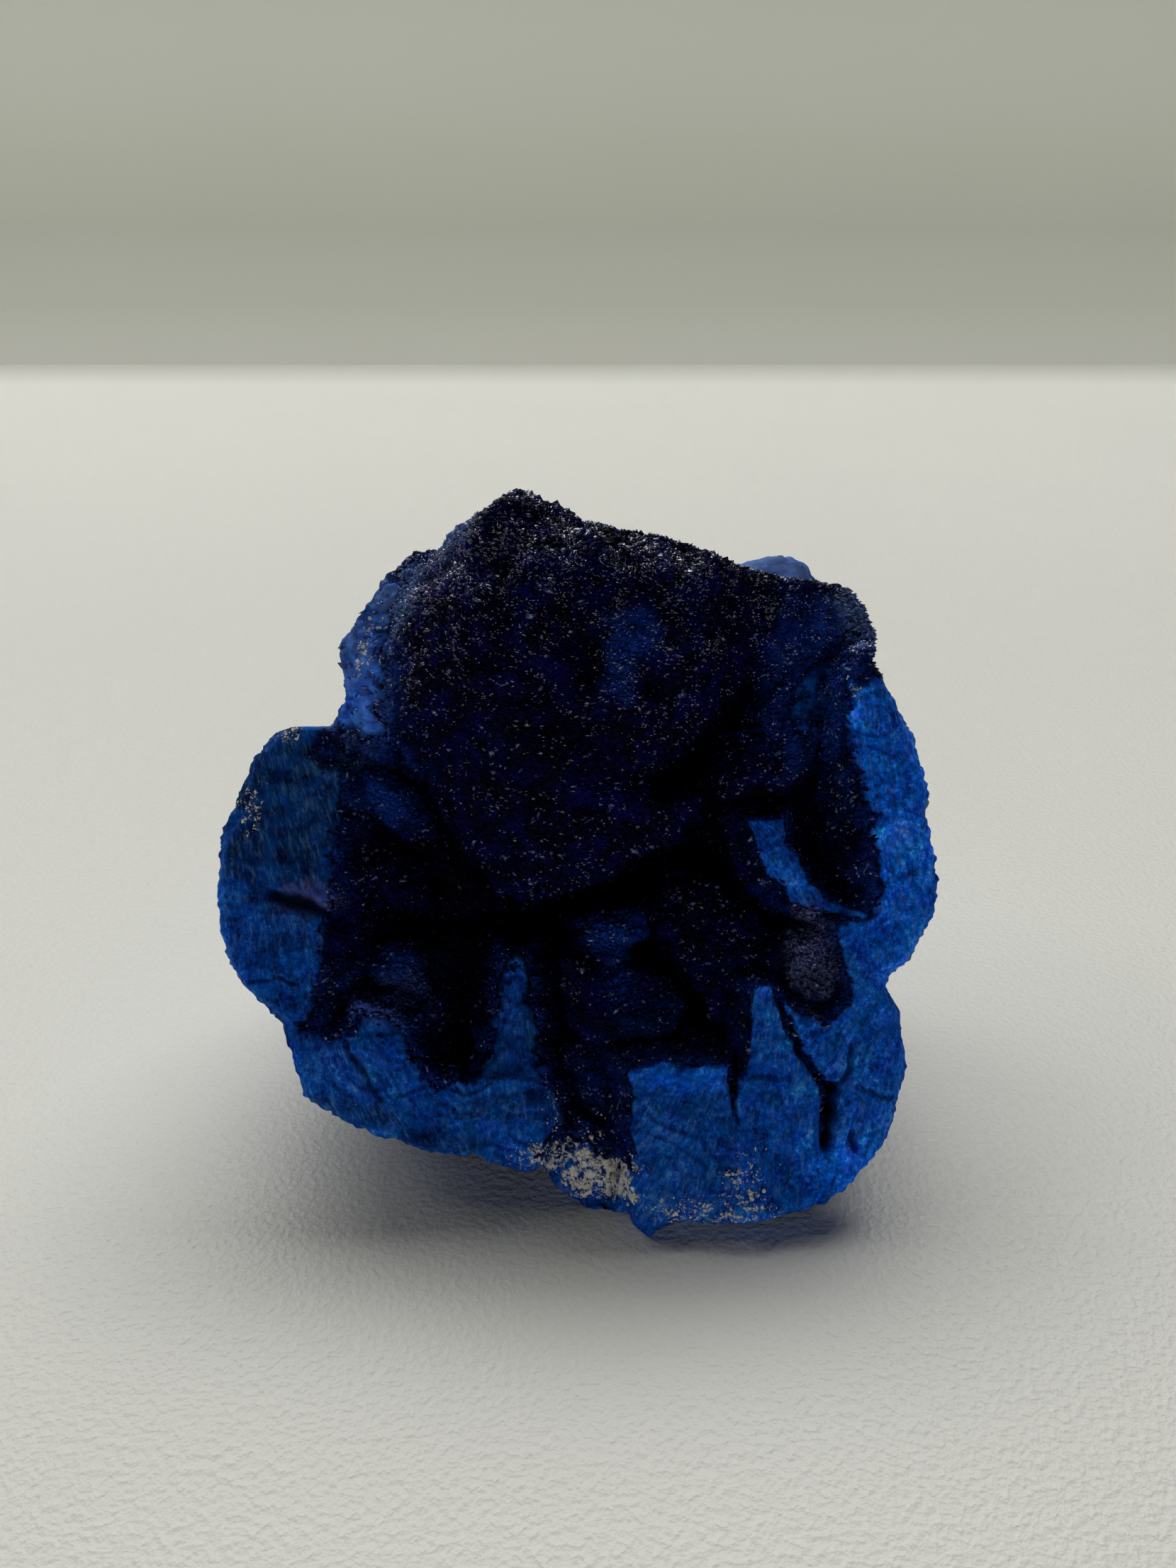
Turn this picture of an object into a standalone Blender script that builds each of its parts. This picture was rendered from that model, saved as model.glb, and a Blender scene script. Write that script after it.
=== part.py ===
"""Azurite nodule, broken open, with a drusy crystal crust in its hollow.

The nodule leans back on its weathered underside. All lengths here are millimetres in the
frame of the broken face: x to the right, z up along the face, y into the nodule. The last
step leans that frame back, cuts the resting flat and writes metres with +Z up.
"""
import math

import bmesh
import bpy
import numpy as np
from mathutils import Matrix, Vector, noise

# Driving dimensions, in mm unless the name says otherwise
NODULE_DEPTH = 20.5        # from the broken face to the back of the nodule
LEAN_DEGREES = 30.0        # how far the broken face leans back
HOLLOW_FLOOR = 8.5         # depth of the hollow between its mounds
CRUST_THICKNESS = 1.3
CRUST_GAP = 0.35           # clearance between the crust and the wall
GROUND_LEVEL = -18.3       # height of the resting plane in the leaning frame
SETTLE_CLEARANCE = 0.7     # lumps lower than this over the resting plane are squeezed
SETTLE_DEPTH = 0.9         # the most that a squeezed lump reaches below that plane
RIM_ROUNDING = 1.6         # width of the rounded edge of the broken face
SKIRT_SLOPE = 2.6          # steepness of broken plates down into the hollow
FOLD_SLOPE = 3.2           # steepness of the folds between drusy mounds
MOUND_BLEND = 0.8          # how softly neighbouring mounds run together
PLATE_OVERLAP = 0.07       # neighbouring plates run into each other by twice this
SKIN_FLARE = 0.01          # share by which the skin spreads for each mm behind the rim
SKIN_FADE = 2.2            # how soon behind the rim the lumps of the skin reach full height
BACK_RISE = 4.0            # the back of the nodule sits this much higher than its face
MIDDLE = (0.0, 9.0, 1.0)   # point that the lumps and lobes of the skin rise away from

# Uneven surfaces: height and size of their lumps, and which run of the noise they follow
PLATE_SWELL, PLATE_SWELL_SIZE, PLATE_SWELL_RUN = 0.45, 5.0, 7.0
CRUST_LUMP, CRUST_LUMP_SIZE, CRUST_LUMP_RUN = 0.28, 1.9, 5.0
CRUST_LUMP_DEPTH = 0.3     # share of the depth that also shifts the crust's lumps
SKIN_LUMP, SKIN_LUMP_SIZE, SKIN_LUMP_RUN = 0.9, 6.0, 1.0
SKIN_KNOB, SKIN_KNOB_SIZE, SKIN_KNOB_RUN = 0.36, 2.6, 2.0

# Meshes and cutters
BODY_TRIANGLES = 5000
FACE_SHARE = 0.56          # share of the way from front to back that the broken face takes
FIELD_STEP = 0.35          # grid spacing of the depth field that the backing is read from
FACE_REACH = 26.0          # half side of that field, past the rim on every side
BACKING_STEP = 1.4         # grid spacing of the surface between crust and wall
SLIVER = 0.03              # edges shorter than this are closed up after a cut
BLOCK_FRONT = -12.0        # the hollow's cutter starts this far in front of the face
PRISM_FRONT = -14.0        # the outlines' cutters start here
PRISM_BACK = 40.0          # and end here, behind the nodule

SKIN_COLOUR = (0.016, 0.075, 0.22, 1.0)
CRUST_COLOUR = (0.004, 0.005, 0.04, 1.0)

# Rim of the broken face: x, z, and the depth y of the edge there, clockwise from the top
RIM = [
    (-3.8, 23.4, 7.5), (-2.1, 22.9, 7.5), (-0.4, 22.3, 7.5), (0.1, 21.5, 7.5), (4.6, 20.3, 7.5),
    (8.9, 19.1, 7.5), (12.7, 17.9, 6.5), (16.3, 17.3, 4.0), (17.4, 16.7, 4.0), (18.1, 14.8, 3.0),
    (18.4, 13.7, 3.0), (17.8, 12.3, 2.5), (18.7, 10.5, 2.0), (19.9, 8.0, 2.0), (21.2, 4.1, 2.0),
    (20.7, 3.0, 1.5), (21.4, -1.0, 1.5), (21.3, -2.5, 1.5), (19.6, -5.7, 1.5), (18.5, -6.6, 1.5),
    (18.3, -7.4, 1.5), (18.9, -8.6, 1.5), (19.4, -12.1, 1.5), (18.6, -14.8, 1.5),
    (18.1, -16.3, 1.5), (15.6, -19.1, 1.0), (13.8, -20.0, 1.0), (10.8, -20.6, 0.5),
    (5.5, -20.6, 0.0), (4.1, -21.4, 0.0), (3.2, -20.9, 0.5), (2.9, -20.3, 1.0), (1.1, -20.7, 1.5),
    (-0.9, -19.3, 1.5), (-2.1, -17.7, 1.0), (-3.3, -17.9, 0.5), (-6.0, -16.9, 0.5),
    (-9.6, -16.6, 1.0), (-13.2, -15.3, 1.0), (-16.3, -13.8, 1.0), (-16.5, -12.6, 1.0),
    (-17.5, -9.4, 1.5), (-20.1, -7.1, 2.0), (-21.0, -5.6, 2.0), (-21.7, -1.6, 2.0),
    (-21.2, 2.6, 2.0), (-19.8, 6.0, 2.0), (-18.6, 7.6, 2.5), (-17.5, 8.3, 2.5), (-15.0, 8.2, 2.5),
    (-14.4, 9.9, 3.0), (-14.8, 13.4, 3.5), (-13.4, 16.1, 4.0), (-12.3, 17.8, 4.5),
    (-10.5, 19.9, 5.5), (-9.2, 20.1, 6.0), (-7.2, 22.1, 7.0), (-5.6, 22.8, 7.5),
]

# Reach of the crust, just inside the rim along the top and past the plates' edges elsewhere
CRUST_REACH = [
    (-16.0, 12.0), (-7.6, 20.1), (-5.9, 21.6), (-3.7, 22.4), (-1.2, 21.6), (0.0, 20.5),
    (4.4, 19.4), (8.7, 18.2), (12.4, 17.0), (15.8, 16.2), (16.8, 15.6), (19.4, 0.0),
    (16.0, -16.0), (0.0, -18.0), (-16.0, -12.0), (-19.5, 0.0),
]

# Broken plates of bare azurite: outline, a point on the plate, its depth and its tilt dy/dx, dy/dz
PLATES = {
    "left_lobe": dict(
        outline=[(-14.6, 9.6), (-13.6, 7.0), (-13.7, 4.6), (-14.1, 1.6), (-14.0, -0.1),
                 (-14.3, -2.7), (-14.9, -3.4), (-14.6, -6.1), (-15.2, -9.0), (-16.3, -9.6),
                 (-24.0, -9.8), (-24.0, 10.0)],
        at=(-18.0, 0.0), depth=0.4, tilt=(-0.06, 0.05)),
    "lower_left": dict(
        outline=[(-20.0, -9.0), (-16.2, -9.3), (-14.8, -9.6), (-13.8, -9.4), (-12.9, -8.3),
                 (-11.7, -8.5), (-10.1, -9.7), (-9.2, -11.2), (-7.8, -12.3), (-6.5, -12.6),
                 (-6.0, -23.0), (-20.0, -23.0)],
        at=(-12.0, -12.0), depth=0.5, tilt=(0.03, 0.12)),
    "spur": dict(
        outline=[(-4.4, -5.6), (-3.1, -5.7), (-2.6, -7.1), (-2.0, -9.8), (-2.2, -11.2),
                 (-1.2, -13.0), (-1.0, -15.0), (-7.2, -15.0), (-6.9, -12.6), (-5.8, -11.3),
                 (-5.5, -9.6), (-4.7, -8.1)],
        at=(-3.6, -13.0), depth=1.0, tilt=(0.0, 0.42)),
    "spur_foot": dict(
        outline=[(-7.2, -12.6), (-1.3, -12.8), (-0.9, -15.0), (-2.4, -17.0), (-2.4, -23.0),
                 (-8.0, -23.0)],
        at=(-4.0, -15.0), depth=0.7, tilt=(0.05, 0.06)),
    "clay_bench": dict(
        outline=[(-1.5, -13.6), (0.0, -15.1), (1.2, -15.8), (3.4, -16.1), (3.4, -23.0),
                 (-3.0, -23.0), (-3.0, -14.6)],
        at=(0.5, -17.0), depth=1.9, tilt=(0.0, 0.1)),
    "block": dict(
        outline=[(2.8, -12.2), (3.4, -11.9), (5.7, -11.7), (8.6, -11.9), (8.9, -13.2),
                 (9.4, -15.5), (9.6, -24.0), (3.0, -24.0), (3.2, -18.1), (2.9, -14.6)],
        at=(6.0, -16.0), depth=-0.9, tilt=(0.04, 0.05)),
    "petal": dict(
        outline=[(9.8, -7.6), (10.6, -7.0), (11.5, -7.3), (12.3, -9.7), (14.1, -12.7),
                 (13.7, -15.8), (12.6, -18.1), (11.8, -23.0), (8.9, -23.0), (9.1, -13.3),
                 (9.5, -11.6), (9.6, -9.1)],
        at=(11.5, -12.0), depth=-0.5, tilt=(0.05, 0.1)),
    "lower_right": dict(
        outline=[(11.8, -7.6), (13.3, -8.9), (14.5, -9.5), (15.6, -8.8), (16.1, -7.2),
                 (16.0, -5.2), (15.6, -3.9), (17.0, -3.2), (24.0, -3.1), (24.0, -23.0),
                 (10.8, -23.0), (13.0, -17.8), (14.3, -14.9), (14.3, -12.4), (13.0, -9.9)],
        at=(16.5, -12.0), depth=0.1, tilt=(0.1, 0.03)),
    "right_lobe": dict(
        outline=[(15.0, 7.7), (15.4, 6.0), (16.4, 3.1), (16.8, -1.6), (16.4, -3.4), (18.2, -7.3),
                 (24.0, -7.3), (24.0, 12.2), (17.0, 12.6), (15.6, 10.6)],
        at=(19.0, 3.0), depth=0.0, tilt=(0.1, 0.04)),
    "upper_right": dict(
        outline=[(12.3, 5.9), (13.3, 6.2), (15.0, 7.8), (16.4, 10.4), (24.0, 11.5), (24.0, 22.0),
                 (17.0, 20.5), (14.6, 14.6), (12.6, 10.8), (11.7, 8.3)],
        at=(14.0, 8.0), depth=1.3, tilt=(0.02, 0.33)),
    "upper_left": dict(
        outline=[(-14.8, 7.4), (-12.9, 6.9), (-11.6, 7.2), (-11.2, 9.6), (-11.5, 14.2),
                 (-10.3, 16.6), (-8.3, 18.8), (-6.3, 21.4), (-6.6, 27.0), (-20.0, 27.0),
                 (-20.0, 9.0)],
        at=(-12.8, 10.0), depth=2.1, tilt=(-0.05, 0.3)),
    "septum": dict(
        outline=[(10.9, 2.6), (12.4, 2.9), (12.9, 2.4), (13.0, 1.2), (13.6, 0.3), (14.8, -0.9),
                 (15.9, -1.8), (17.4, -2.1), (17.2, -3.2), (14.8, -2.9), (13.4, -2.1),
                 (11.7, -0.7), (11.0, 0.8)],
        at=(13.0, 0.5), depth=1.3, tilt=(-0.18, 0.05)),
}

# Drusy mounds: outline, depth of the outline, height of the crown over it and width of its rounding
MOUNDS = {
    "dome": dict(
        outline=[(-12.6, 8.0), (-11.6, 6.6), (-9.9, 4.7), (-8.8, 3.2), (-8.0, 1.5), (-7.1, 0.2),
                 (-5.4, -1.2), (-3.8, -2.3), (-2.2, -2.3), (1.1, -1.5), (4.3, 0.6), (6.8, 1.8),
                 (8.0, 2.4), (7.8, 4.0), (6.9, 4.6), (5.5, 5.2), (6.8, 6.6), (9.0, 9.4),
                 (10.2, 12.0), (11.0, 19.5), (0.4, 23.4), (-3.8, 25.2), (-7.6, 24.0),
                 (-9.0, 19.6), (-11.6, 17.0), (-12.6, 13.6)],
        depth=6.5, crown=9.2, rounding=9.5),
    "shoulder": dict(
        outline=[(6.0, 8.6), (9.2, 9.6), (10.4, 10.6), (12.0, 8.4), (13.2, 9.6), (15.6, 13.4),
                 (17.4, 18.4), (8.0, 21.4), (2.0, 21.6)],
        depth=6.8, crown=5.2, rounding=5.0),
    "lip": dict(
        outline=[(-14.4, 7.6), (-11.8, 6.8), (-10.9, 5.3), (-10.0, 4.3), (-9.2, 2.6), (-9.2, 1.8),
                 (-10.6, 1.8), (-11.7, 2.2), (-13.0, 3.0), (-14.6, 3.4)],
        depth=4.6, crown=2.6, rounding=2.2),
    "knob": dict(
        outline=[(-5.7, -0.4), (-4.6, 0.5), (-3.3, 0.0), (-3.4, -1.8), (-5.0, -2.2)],
        depth=4.6, crown=3.4, rounding=1.6),
    "right_ridge": dict(
        outline=[(8.9, 8.4), (10.2, 9.2), (12.2, 8.8), (13.2, 7.0), (12.6, 4.2), (10.6, 3.3),
                 (9.0, 3.2), (8.6, 4.7), (8.3, 6.3)],
        depth=6.2, crown=4.2, rounding=2.2),
    "septum_back": dict(
        outline=[(9.6, 2.3), (11.2, 2.8), (11.9, -0.5), (10.3, -0.3)],
        depth=5.0, crown=2.2, rounding=1.0),
    "cavity_ledge": dict(
        outline=[(13.1, 3.9), (16.9, 3.8), (17.0, 2.7), (13.2, 2.8)],
        depth=6.5, crown=1.6, rounding=0.8),
    "left_slope": dict(
        outline=[(-14.1, -4.6), (-10.0, -4.9), (-9.6, -7.2), (-9.3, -11.4), (-11.7, -9.2),
                 (-14.0, -9.4)],
        depth=6.0, crown=2.6, rounding=2.2),
    "mound_a": dict(
        outline=[(-1.3, -6.0), (0.0, -5.2), (2.0, -5.8), (3.6, -6.1), (5.2, -6.6), (6.0, -7.6),
                 (7.0, -9.3), (7.3, -12.2), (2.8, -12.4), (-0.2, -11.2), (-1.3, -9.5)],
        depth=5.6, crown=3.9, rounding=3.0),
    "mound_b": dict(
        outline=[(5.5, -1.3), (6.5, -0.5), (7.7, -0.7), (9.6, -2.1), (11.8, -3.0), (13.8, -3.4),
                 (13.8, -7.4), (11.9, -8.0), (9.8, -8.0), (9.3, -12.2), (7.8, -12.0),
                 (7.5, -9.8), (6.3, -7.2), (4.9, -5.1), (4.3, -3.6)],
        depth=6.0, crown=4.2, rounding=3.0),
    "middle": dict(
        outline=[(-0.4, -3.4), (1.6, -2.8), (4.2, -2.4), (4.5, -4.6), (3.2, -5.8), (2.9, -7.4),
                 (0.4, -7.4), (-0.6, -5.4)],
        depth=5.6, crown=3.0, rounding=2.4),
    "tongue": dict(
        outline=[(-1.5, -10.8), (0.5, -10.4), (3.0, -11.4), (3.2, -16.4), (1.0, -16.2),
                 (-0.5, -14.4), (-1.9, -12.4)],
        depth=4.4, crown=2.4, rounding=2.2),
    "violet_mound": dict(
        outline=[(13.2, -3.2), (14.8, -2.8), (16.0, -4.0), (16.2, -6.8), (15.6, -8.8),
                 (14.6, -9.6), (13.2, -8.6), (12.5, -7.2), (12.6, -4.6)],
        depth=3.2, crown=2.2, rounding=1.6),
}

# Cracks and folds: path, half width and depth
CRACKS = {
    "left_lobe_step": ([(-18.3, -1.2), (-16.5, -2.2), (-14.4, -3.2)], 0.5, 0.9),
    "block_side": ([(9.1, -11.4), (9.1, -13.4), (9.4, -16.5)], 0.3, 0.9),
    "petal_side": ([(11.6, -7.6), (12.4, -9.7), (14.2, -12.7)], 0.22, 0.6),
    "slot_pit": ([(14.8, -13.2), (14.3, -14.8), (14.1, -16.6)], 0.4, 1.4),
    "right_corner": ([(15.9, -12.2), (17.2, -13.0), (18.8, -13.5)], 0.25, 0.5),
    "upright_slot": ([(-1.8, -4.5), (-1.8, -8.8), (-1.7, -12.0)], 0.5, 2.5),
    "dome_pit_left": ([(0.4, 12.3), (0.5, 10.9)], 0.7, 1.5),
    "dome_pit_right": ([(4.4, 11.2), (4.2, 10.3)], 0.6, 1.2),
}

# Lobes of the weathered skin: direction (x, y, z) from the middle, spread in degrees and height
LOBES = [
    ((0.63, 0.26, 0.74), 14.0, 5.0),
    ((0.20, 0.75, -0.62), 32.0, 2.6),
    ((-0.85, 0.45, 0.10), 30.0, 1.6),
    ((0.90, 0.55, -0.10), 28.0, 1.8),
    ((-0.45, 0.80, 0.60), 30.0, 2.0),
    ((0.35, 0.95, -0.05), 34.0, 1.8),
    ((-0.50, 0.75, -0.55), 28.0, 1.4),
]


def edge_distance(outline, x, z):
    """Distance of each point from a closed outline, negative inside it."""
    corners = np.array(outline)
    nearest = np.full(x.shape, np.inf)
    inside = np.zeros(x.shape, dtype=bool)
    for (ax, az), (bx, bz) in zip(corners, np.roll(corners, -1, axis=0)):
        dx = bx - ax
        dz = bz - az
        along = np.clip(((x - ax) * dx + (z - az) * dz) / (dx * dx + dz * dz), 0.0, 1.0)
        nearest = np.minimum(nearest, np.hypot(x - ax - along * dx, z - az - along * dz))
        if az != bz:
            crosses = ((az > z) != (bz > z)) & (x < ax + (z - az) * dx / dz)
            inside ^= crosses
    return np.where(inside, -nearest, nearest)


def path_distance(path, x, z):
    """Distance of each point from an open path."""
    nearest = np.full(x.shape, np.inf)
    for (ax, az), (bx, bz) in zip(path, path[1:]):
        dx = bx - ax
        dz = bz - az
        along = np.clip(((x - ax) * dx + (z - az) * dz) / (dx * dx + dz * dz), 0.0, 1.0)
        nearest = np.minimum(nearest, np.hypot(x - ax - along * dx, z - az - along * dz))
    return nearest


def plate_depth(plate, x, z):
    """Depth of a flat broken plate and of the cliff around it."""
    (x0, z0), (tilt_x, tilt_z) = plate["at"], plate["tilt"]
    flat = plate["depth"] + tilt_x * (x - x0) + tilt_z * (z - z0)
    outside = np.maximum(edge_distance(plate["outline"], x, z), 0.0)
    return flat + SKIRT_SLOPE * outside


def mound_depth(mound, x, z):
    """Depth of a rounded drusy mound and of the fold around it."""
    distance = edge_distance(mound["outline"], x, z)
    inward = np.clip(-distance / mound["rounding"], 0.0, 1.0)
    crown = mound["crown"] * np.sqrt(1.0 - (1.0 - inward) ** 2)
    return mound["depth"] - crown + FOLD_SLOPE * np.maximum(distance, 0.0)


def soft_minimum(a, b, blend):
    """The nearer of two depths, blended where they are within the blend of each other."""
    mix = np.clip(0.5 + 0.5 * (b - a) / blend, 0.0, 1.0)
    return b * (1.0 - mix) + a * mix - blend * mix * (1.0 - mix)


def lumps(points, scale, seed):
    """Smooth noise, about -1 to 1, at points in mm."""
    shift = Vector((seed, 2.0 * seed, 3.0 * seed))
    return np.array([noise.noise(Vector(point) / scale + shift) for point in points])


def face_depth(x, z):
    """Depth of the broken face and its hollow at each point of the face."""
    depth = np.full(x.shape, HOLLOW_FLOOR)
    for mound in MOUNDS.values():
        depth = soft_minimum(depth, mound_depth(mound, x, z), MOUND_BLEND)
    places = np.stack([x, z, depth * CRUST_LUMP_DEPTH], axis=-1).reshape(-1, 3)
    grain = lumps(places, CRUST_LUMP_SIZE, CRUST_LUMP_RUN)
    depth = depth + CRUST_LUMP * grain.reshape(x.shape)
    places = np.stack([x, z, 0.0 * x], axis=-1).reshape(-1, 3)
    swell = lumps(places, PLATE_SWELL_SIZE, PLATE_SWELL_RUN).reshape(x.shape)
    for plate in PLATES.values():
        depth = np.minimum(depth, plate_depth(plate, x, z) + PLATE_SWELL * swell)
    for path, half_width, crack_depth in CRACKS.values():
        depth = depth + crack_depth * np.exp(-(path_distance(path, x, z) / half_width) ** 2)
    return depth


def rim_at(angle):
    """Radius and edge depth of the rim in each direction of the face."""
    x, z, edge_depth = np.array(RIM).T
    rim_angle = np.arctan2(z, x)
    order = np.argsort(rim_angle)
    radius = np.interp(angle, rim_angle[order], np.hypot(x, z)[order], period=2.0 * math.pi)
    return radius, np.interp(angle, rim_angle[order], edge_depth[order], period=2.0 * math.pi)


def girth_at(angle):
    """Radius of the nodule behind its rim: the rim's with its notches rounded out."""
    around = np.radians(np.arange(0.0, 360.0, 6.0))
    radius, _ = rim_at(around)
    rounded = sum(np.roll(radius, step) for step in range(-4, 5)) / 9.0
    return np.interp(angle, around, rounded, period=2.0 * math.pi)


def lean(point):
    """Broken-face frame to the standing frame: the face leans back about the x axis."""
    x, y, z = point
    c = math.cos(math.radians(LEAN_DEGREES))
    s = math.sin(math.radians(LEAN_DEGREES))
    return x, y * c + z * s, z * c - y * s


def settle(height, behind):
    """Squeeze what hangs below the resting plane, so that only the lowest lumps reach it.

    The foot of the broken face keeps its shape: the squeeze grows with the distance behind it.
    """
    hang = SETTLE_CLEARANCE - (height - GROUND_LEVEL)
    if hang <= 0.0:
        return height
    squeezed = hang / (1.0 + hang / (SETTLE_CLEARANCE + SETTLE_DEPTH))
    share = min(max(behind / 4.0, 0.0), 1.0)
    return GROUND_LEVEL + SETTLE_CLEARANCE - hang + share * (hang - squeezed)


def nodule_points(directions):
    """Places of a unit sphere's points on the nodule: its front half is the broken face."""
    dx, dy, dz = directions.T
    angle = np.arctan2(dz, dx)
    radius, edge_depth = rim_at(angle)
    polar = np.arccos(np.clip(-dy, -1.0, 1.0)) / math.pi
    inward = np.clip(polar / FACE_SHARE, 0.0, 1.0)
    x = inward * radius * np.cos(angle)
    z = inward * radius * np.sin(angle)
    edge = np.clip(1.0 - (1.0 - inward) * radius / RIM_ROUNDING, 0.0, 1.0) ** 2
    y = face_depth(x, z) * (1.0 - edge) + edge_depth * edge

    backward = np.clip((polar - FACE_SHARE) / (1.0 - FACE_SHARE), 0.0, 1.0) * math.pi / 2.0
    behind = backward > 0.0
    back_y = edge_depth + (NODULE_DEPTH - edge_depth) * np.sin(backward)
    flare = radius * (1.0 + SKIN_FLARE * (back_y - edge_depth))
    girth = np.minimum(girth_at(angle), flare) * np.cos(backward) ** 0.8
    x = np.where(behind, girth * np.cos(angle), x)
    z = np.where(behind, girth * np.sin(angle) + BACK_RISE * np.sin(backward) ** 2, z)
    y = np.where(behind, back_y, y)
    points = np.stack([x, y, z], axis=-1)

    outward = points - np.array(MIDDLE)
    outward /= np.linalg.norm(outward, axis=1)[:, None]
    lift = (SKIN_LUMP * lumps(points, SKIN_LUMP_SIZE, SKIN_LUMP_RUN)
            + SKIN_KNOB * lumps(points, SKIN_KNOB_SIZE, SKIN_KNOB_RUN))
    for direction, spread, height in LOBES:
        toward = np.array(direction) / np.linalg.norm(direction)
        off = np.degrees(np.arccos(np.clip(outward @ toward, -1.0, 1.0)))
        lift += height * np.exp(-(off / spread) ** 2)
    fade = np.sin(np.clip(backward * SKIN_FADE, 0.0, math.pi / 2.0))
    return points + outward * (lift * fade)[:, None]


def new_object(name, mesh, collection):
    obj = bpy.data.objects.new(name, mesh)
    collection.objects.link(obj)
    return obj


def applied(obj, name, collection):
    """A new object with the evaluated mesh of another one, which is removed."""
    evaluated = obj.evaluated_get(bpy.context.evaluated_depsgraph_get())
    result = new_object(name, bpy.data.meshes.new_from_object(evaluated), collection)
    bpy.data.objects.remove(obj)
    return result


def boolean(obj, other, operation):
    modifier = obj.modifiers.new(operation.title(), "BOOLEAN")
    modifier.operation = operation
    modifier.solver = "EXACT"
    modifier.object = other


def nodule_body(collection):
    """The whole nodule, hollow included, as one closed solid that stands on its flat."""
    bm = bmesh.new()
    bmesh.ops.create_icosphere(bm, subdivisions=7, radius=1.0)
    places = nodule_points(np.array([vertex.co for vertex in bm.verts]))
    for vertex, place in zip(bm.verts, places):
        x, y, z = lean(place)
        vertex.co = Vector((x, y, settle(z, place[1] - 1.0)))
    bmesh.ops.recalc_face_normals(bm, faces=bm.faces)
    mesh = bpy.data.meshes.new("nodule")
    bm.to_mesh(mesh)
    bm.free()
    body = new_object("nodule", mesh, collection)
    thin = body.modifiers.new("Thin out", "DECIMATE")
    thin.ratio = BODY_TRIANGLES / len(mesh.polygons)
    body = applied(body, "nodule", collection)

    bm = bmesh.new()
    bm.from_mesh(body.data)
    flat = Vector((0.0, 0.0, GROUND_LEVEL))
    everything = bm.verts[:] + bm.edges[:] + bm.faces[:]
    bmesh.ops.bisect_plane(bm, geom=everything, plane_co=flat, plane_no=(0.0, 0.0, 1.0),
                           clear_inner=True)
    bmesh.ops.holes_fill(bm, edges=[edge for edge in bm.edges if edge.is_boundary])
    bmesh.ops.triangulate(bm, faces=bm.faces)
    bmesh.ops.recalc_face_normals(bm, faces=bm.faces)
    bm.to_mesh(body.data)
    bm.free()
    return body


def backing_depth(thickness):
    """The depth field of the face, moved into the nodule by a thickness at right angles to it."""
    steps = round(FACE_REACH / FIELD_STEP)
    side = np.arange(-steps, steps + 1) * FIELD_STEP
    x, z = np.meshgrid(side, side, indexing="ij")
    field = face_depth(x, z)
    reach = math.ceil(thickness / FIELD_STEP)
    padded = np.pad(field, reach, mode="edge")
    moved = np.full(field.shape, -np.inf)
    for i in range(-reach, reach + 1):
        for j in range(-reach, reach + 1):
            level = thickness ** 2 - (i * i + j * j) * FIELD_STEP ** 2
            if level < 0.0:
                continue
            shifted = padded[reach + i:reach + i + len(side), reach + j:reach + j + len(side)]
            moved = np.maximum(moved, shifted + math.sqrt(level))
    return side, moved


def hollow_block(name, thickness, collection):
    """A block from far in front of the face back to the surface under the crust."""
    side, moved = backing_depth(thickness)
    every = round(BACKING_STEP / FIELD_STEP)
    chosen = side[::every]
    levels = moved[::every, ::every]
    bm = bmesh.new()
    bmesh.ops.create_grid(bm, x_segments=len(chosen) - 1, y_segments=len(chosen) - 1, size=1.0)
    half = (len(chosen) - 1) / 2.0
    for vertex in bm.verts:
        i = round((vertex.co.x + 1.0) * half)
        j = round((vertex.co.y + 1.0) * half)
        vertex.co = Vector((chosen[i], levels[i, j], chosen[j]))
    front = bmesh.ops.extrude_face_region(bm, geom=bm.faces[:])["geom"]
    for vertex in front:
        if isinstance(vertex, bmesh.types.BMVert):
            vertex.co.y = BLOCK_FRONT
    bmesh.ops.triangulate(bm, faces=bm.faces, quad_method="FIXED")
    bmesh.ops.recalc_face_normals(bm, faces=bm.faces)
    return finish_cutter(bm, name, collection)


def grown(outline, distance):
    """An outline moved outward by a distance, corner by corner."""
    corners = np.array(outline)
    ahead = np.roll(corners, -1, axis=0) - corners
    ahead /= np.linalg.norm(ahead, axis=1)[:, None]
    before = np.roll(ahead, 1, axis=0)
    (x, z), (next_x, next_z) = corners.T, np.roll(corners, -1, axis=0).T
    turn = 1.0 if np.sum(x * next_z - z * next_x) > 0.0 else -1.0
    normal_ahead = turn * np.stack([ahead[:, 1], -ahead[:, 0]], axis=-1)
    normal_before = turn * np.stack([before[:, 1], -before[:, 0]], axis=-1)
    bisector = normal_ahead + normal_before
    stretch = np.maximum(np.sum(bisector * normal_ahead, axis=1), 0.2)
    return corners + distance * bisector / stretch[:, None]


def prism(name, outline, collection):
    """An outline of the face drawn out along y, through the crust."""
    bm = bmesh.new()
    corners = [bm.verts.new((x, PRISM_FRONT, z)) for x, z in outline]
    face = bm.faces.new(corners)
    top = bmesh.ops.extrude_face_region(bm, geom=[face])["geom"]
    for vertex in top:
        if isinstance(vertex, bmesh.types.BMVert):
            vertex.co.y = PRISM_BACK
    bmesh.ops.triangulate(bm, faces=bm.faces)
    bmesh.ops.recalc_face_normals(bm, faces=bm.faces)
    return finish_cutter(bm, name, collection)


def hide_cutter(cutter):
    cutter.display_type = "WIRE"
    cutter.hide_render = True


def finish_cutter(bm, name, collection):
    for vertex in bm.verts:
        vertex.co = Vector(lean(vertex.co))
    mesh = bpy.data.meshes.new(name)
    bm.to_mesh(mesh)
    bm.free()
    cutter = new_object(name, mesh, collection)
    hide_cutter(cutter)
    return cutter


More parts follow.
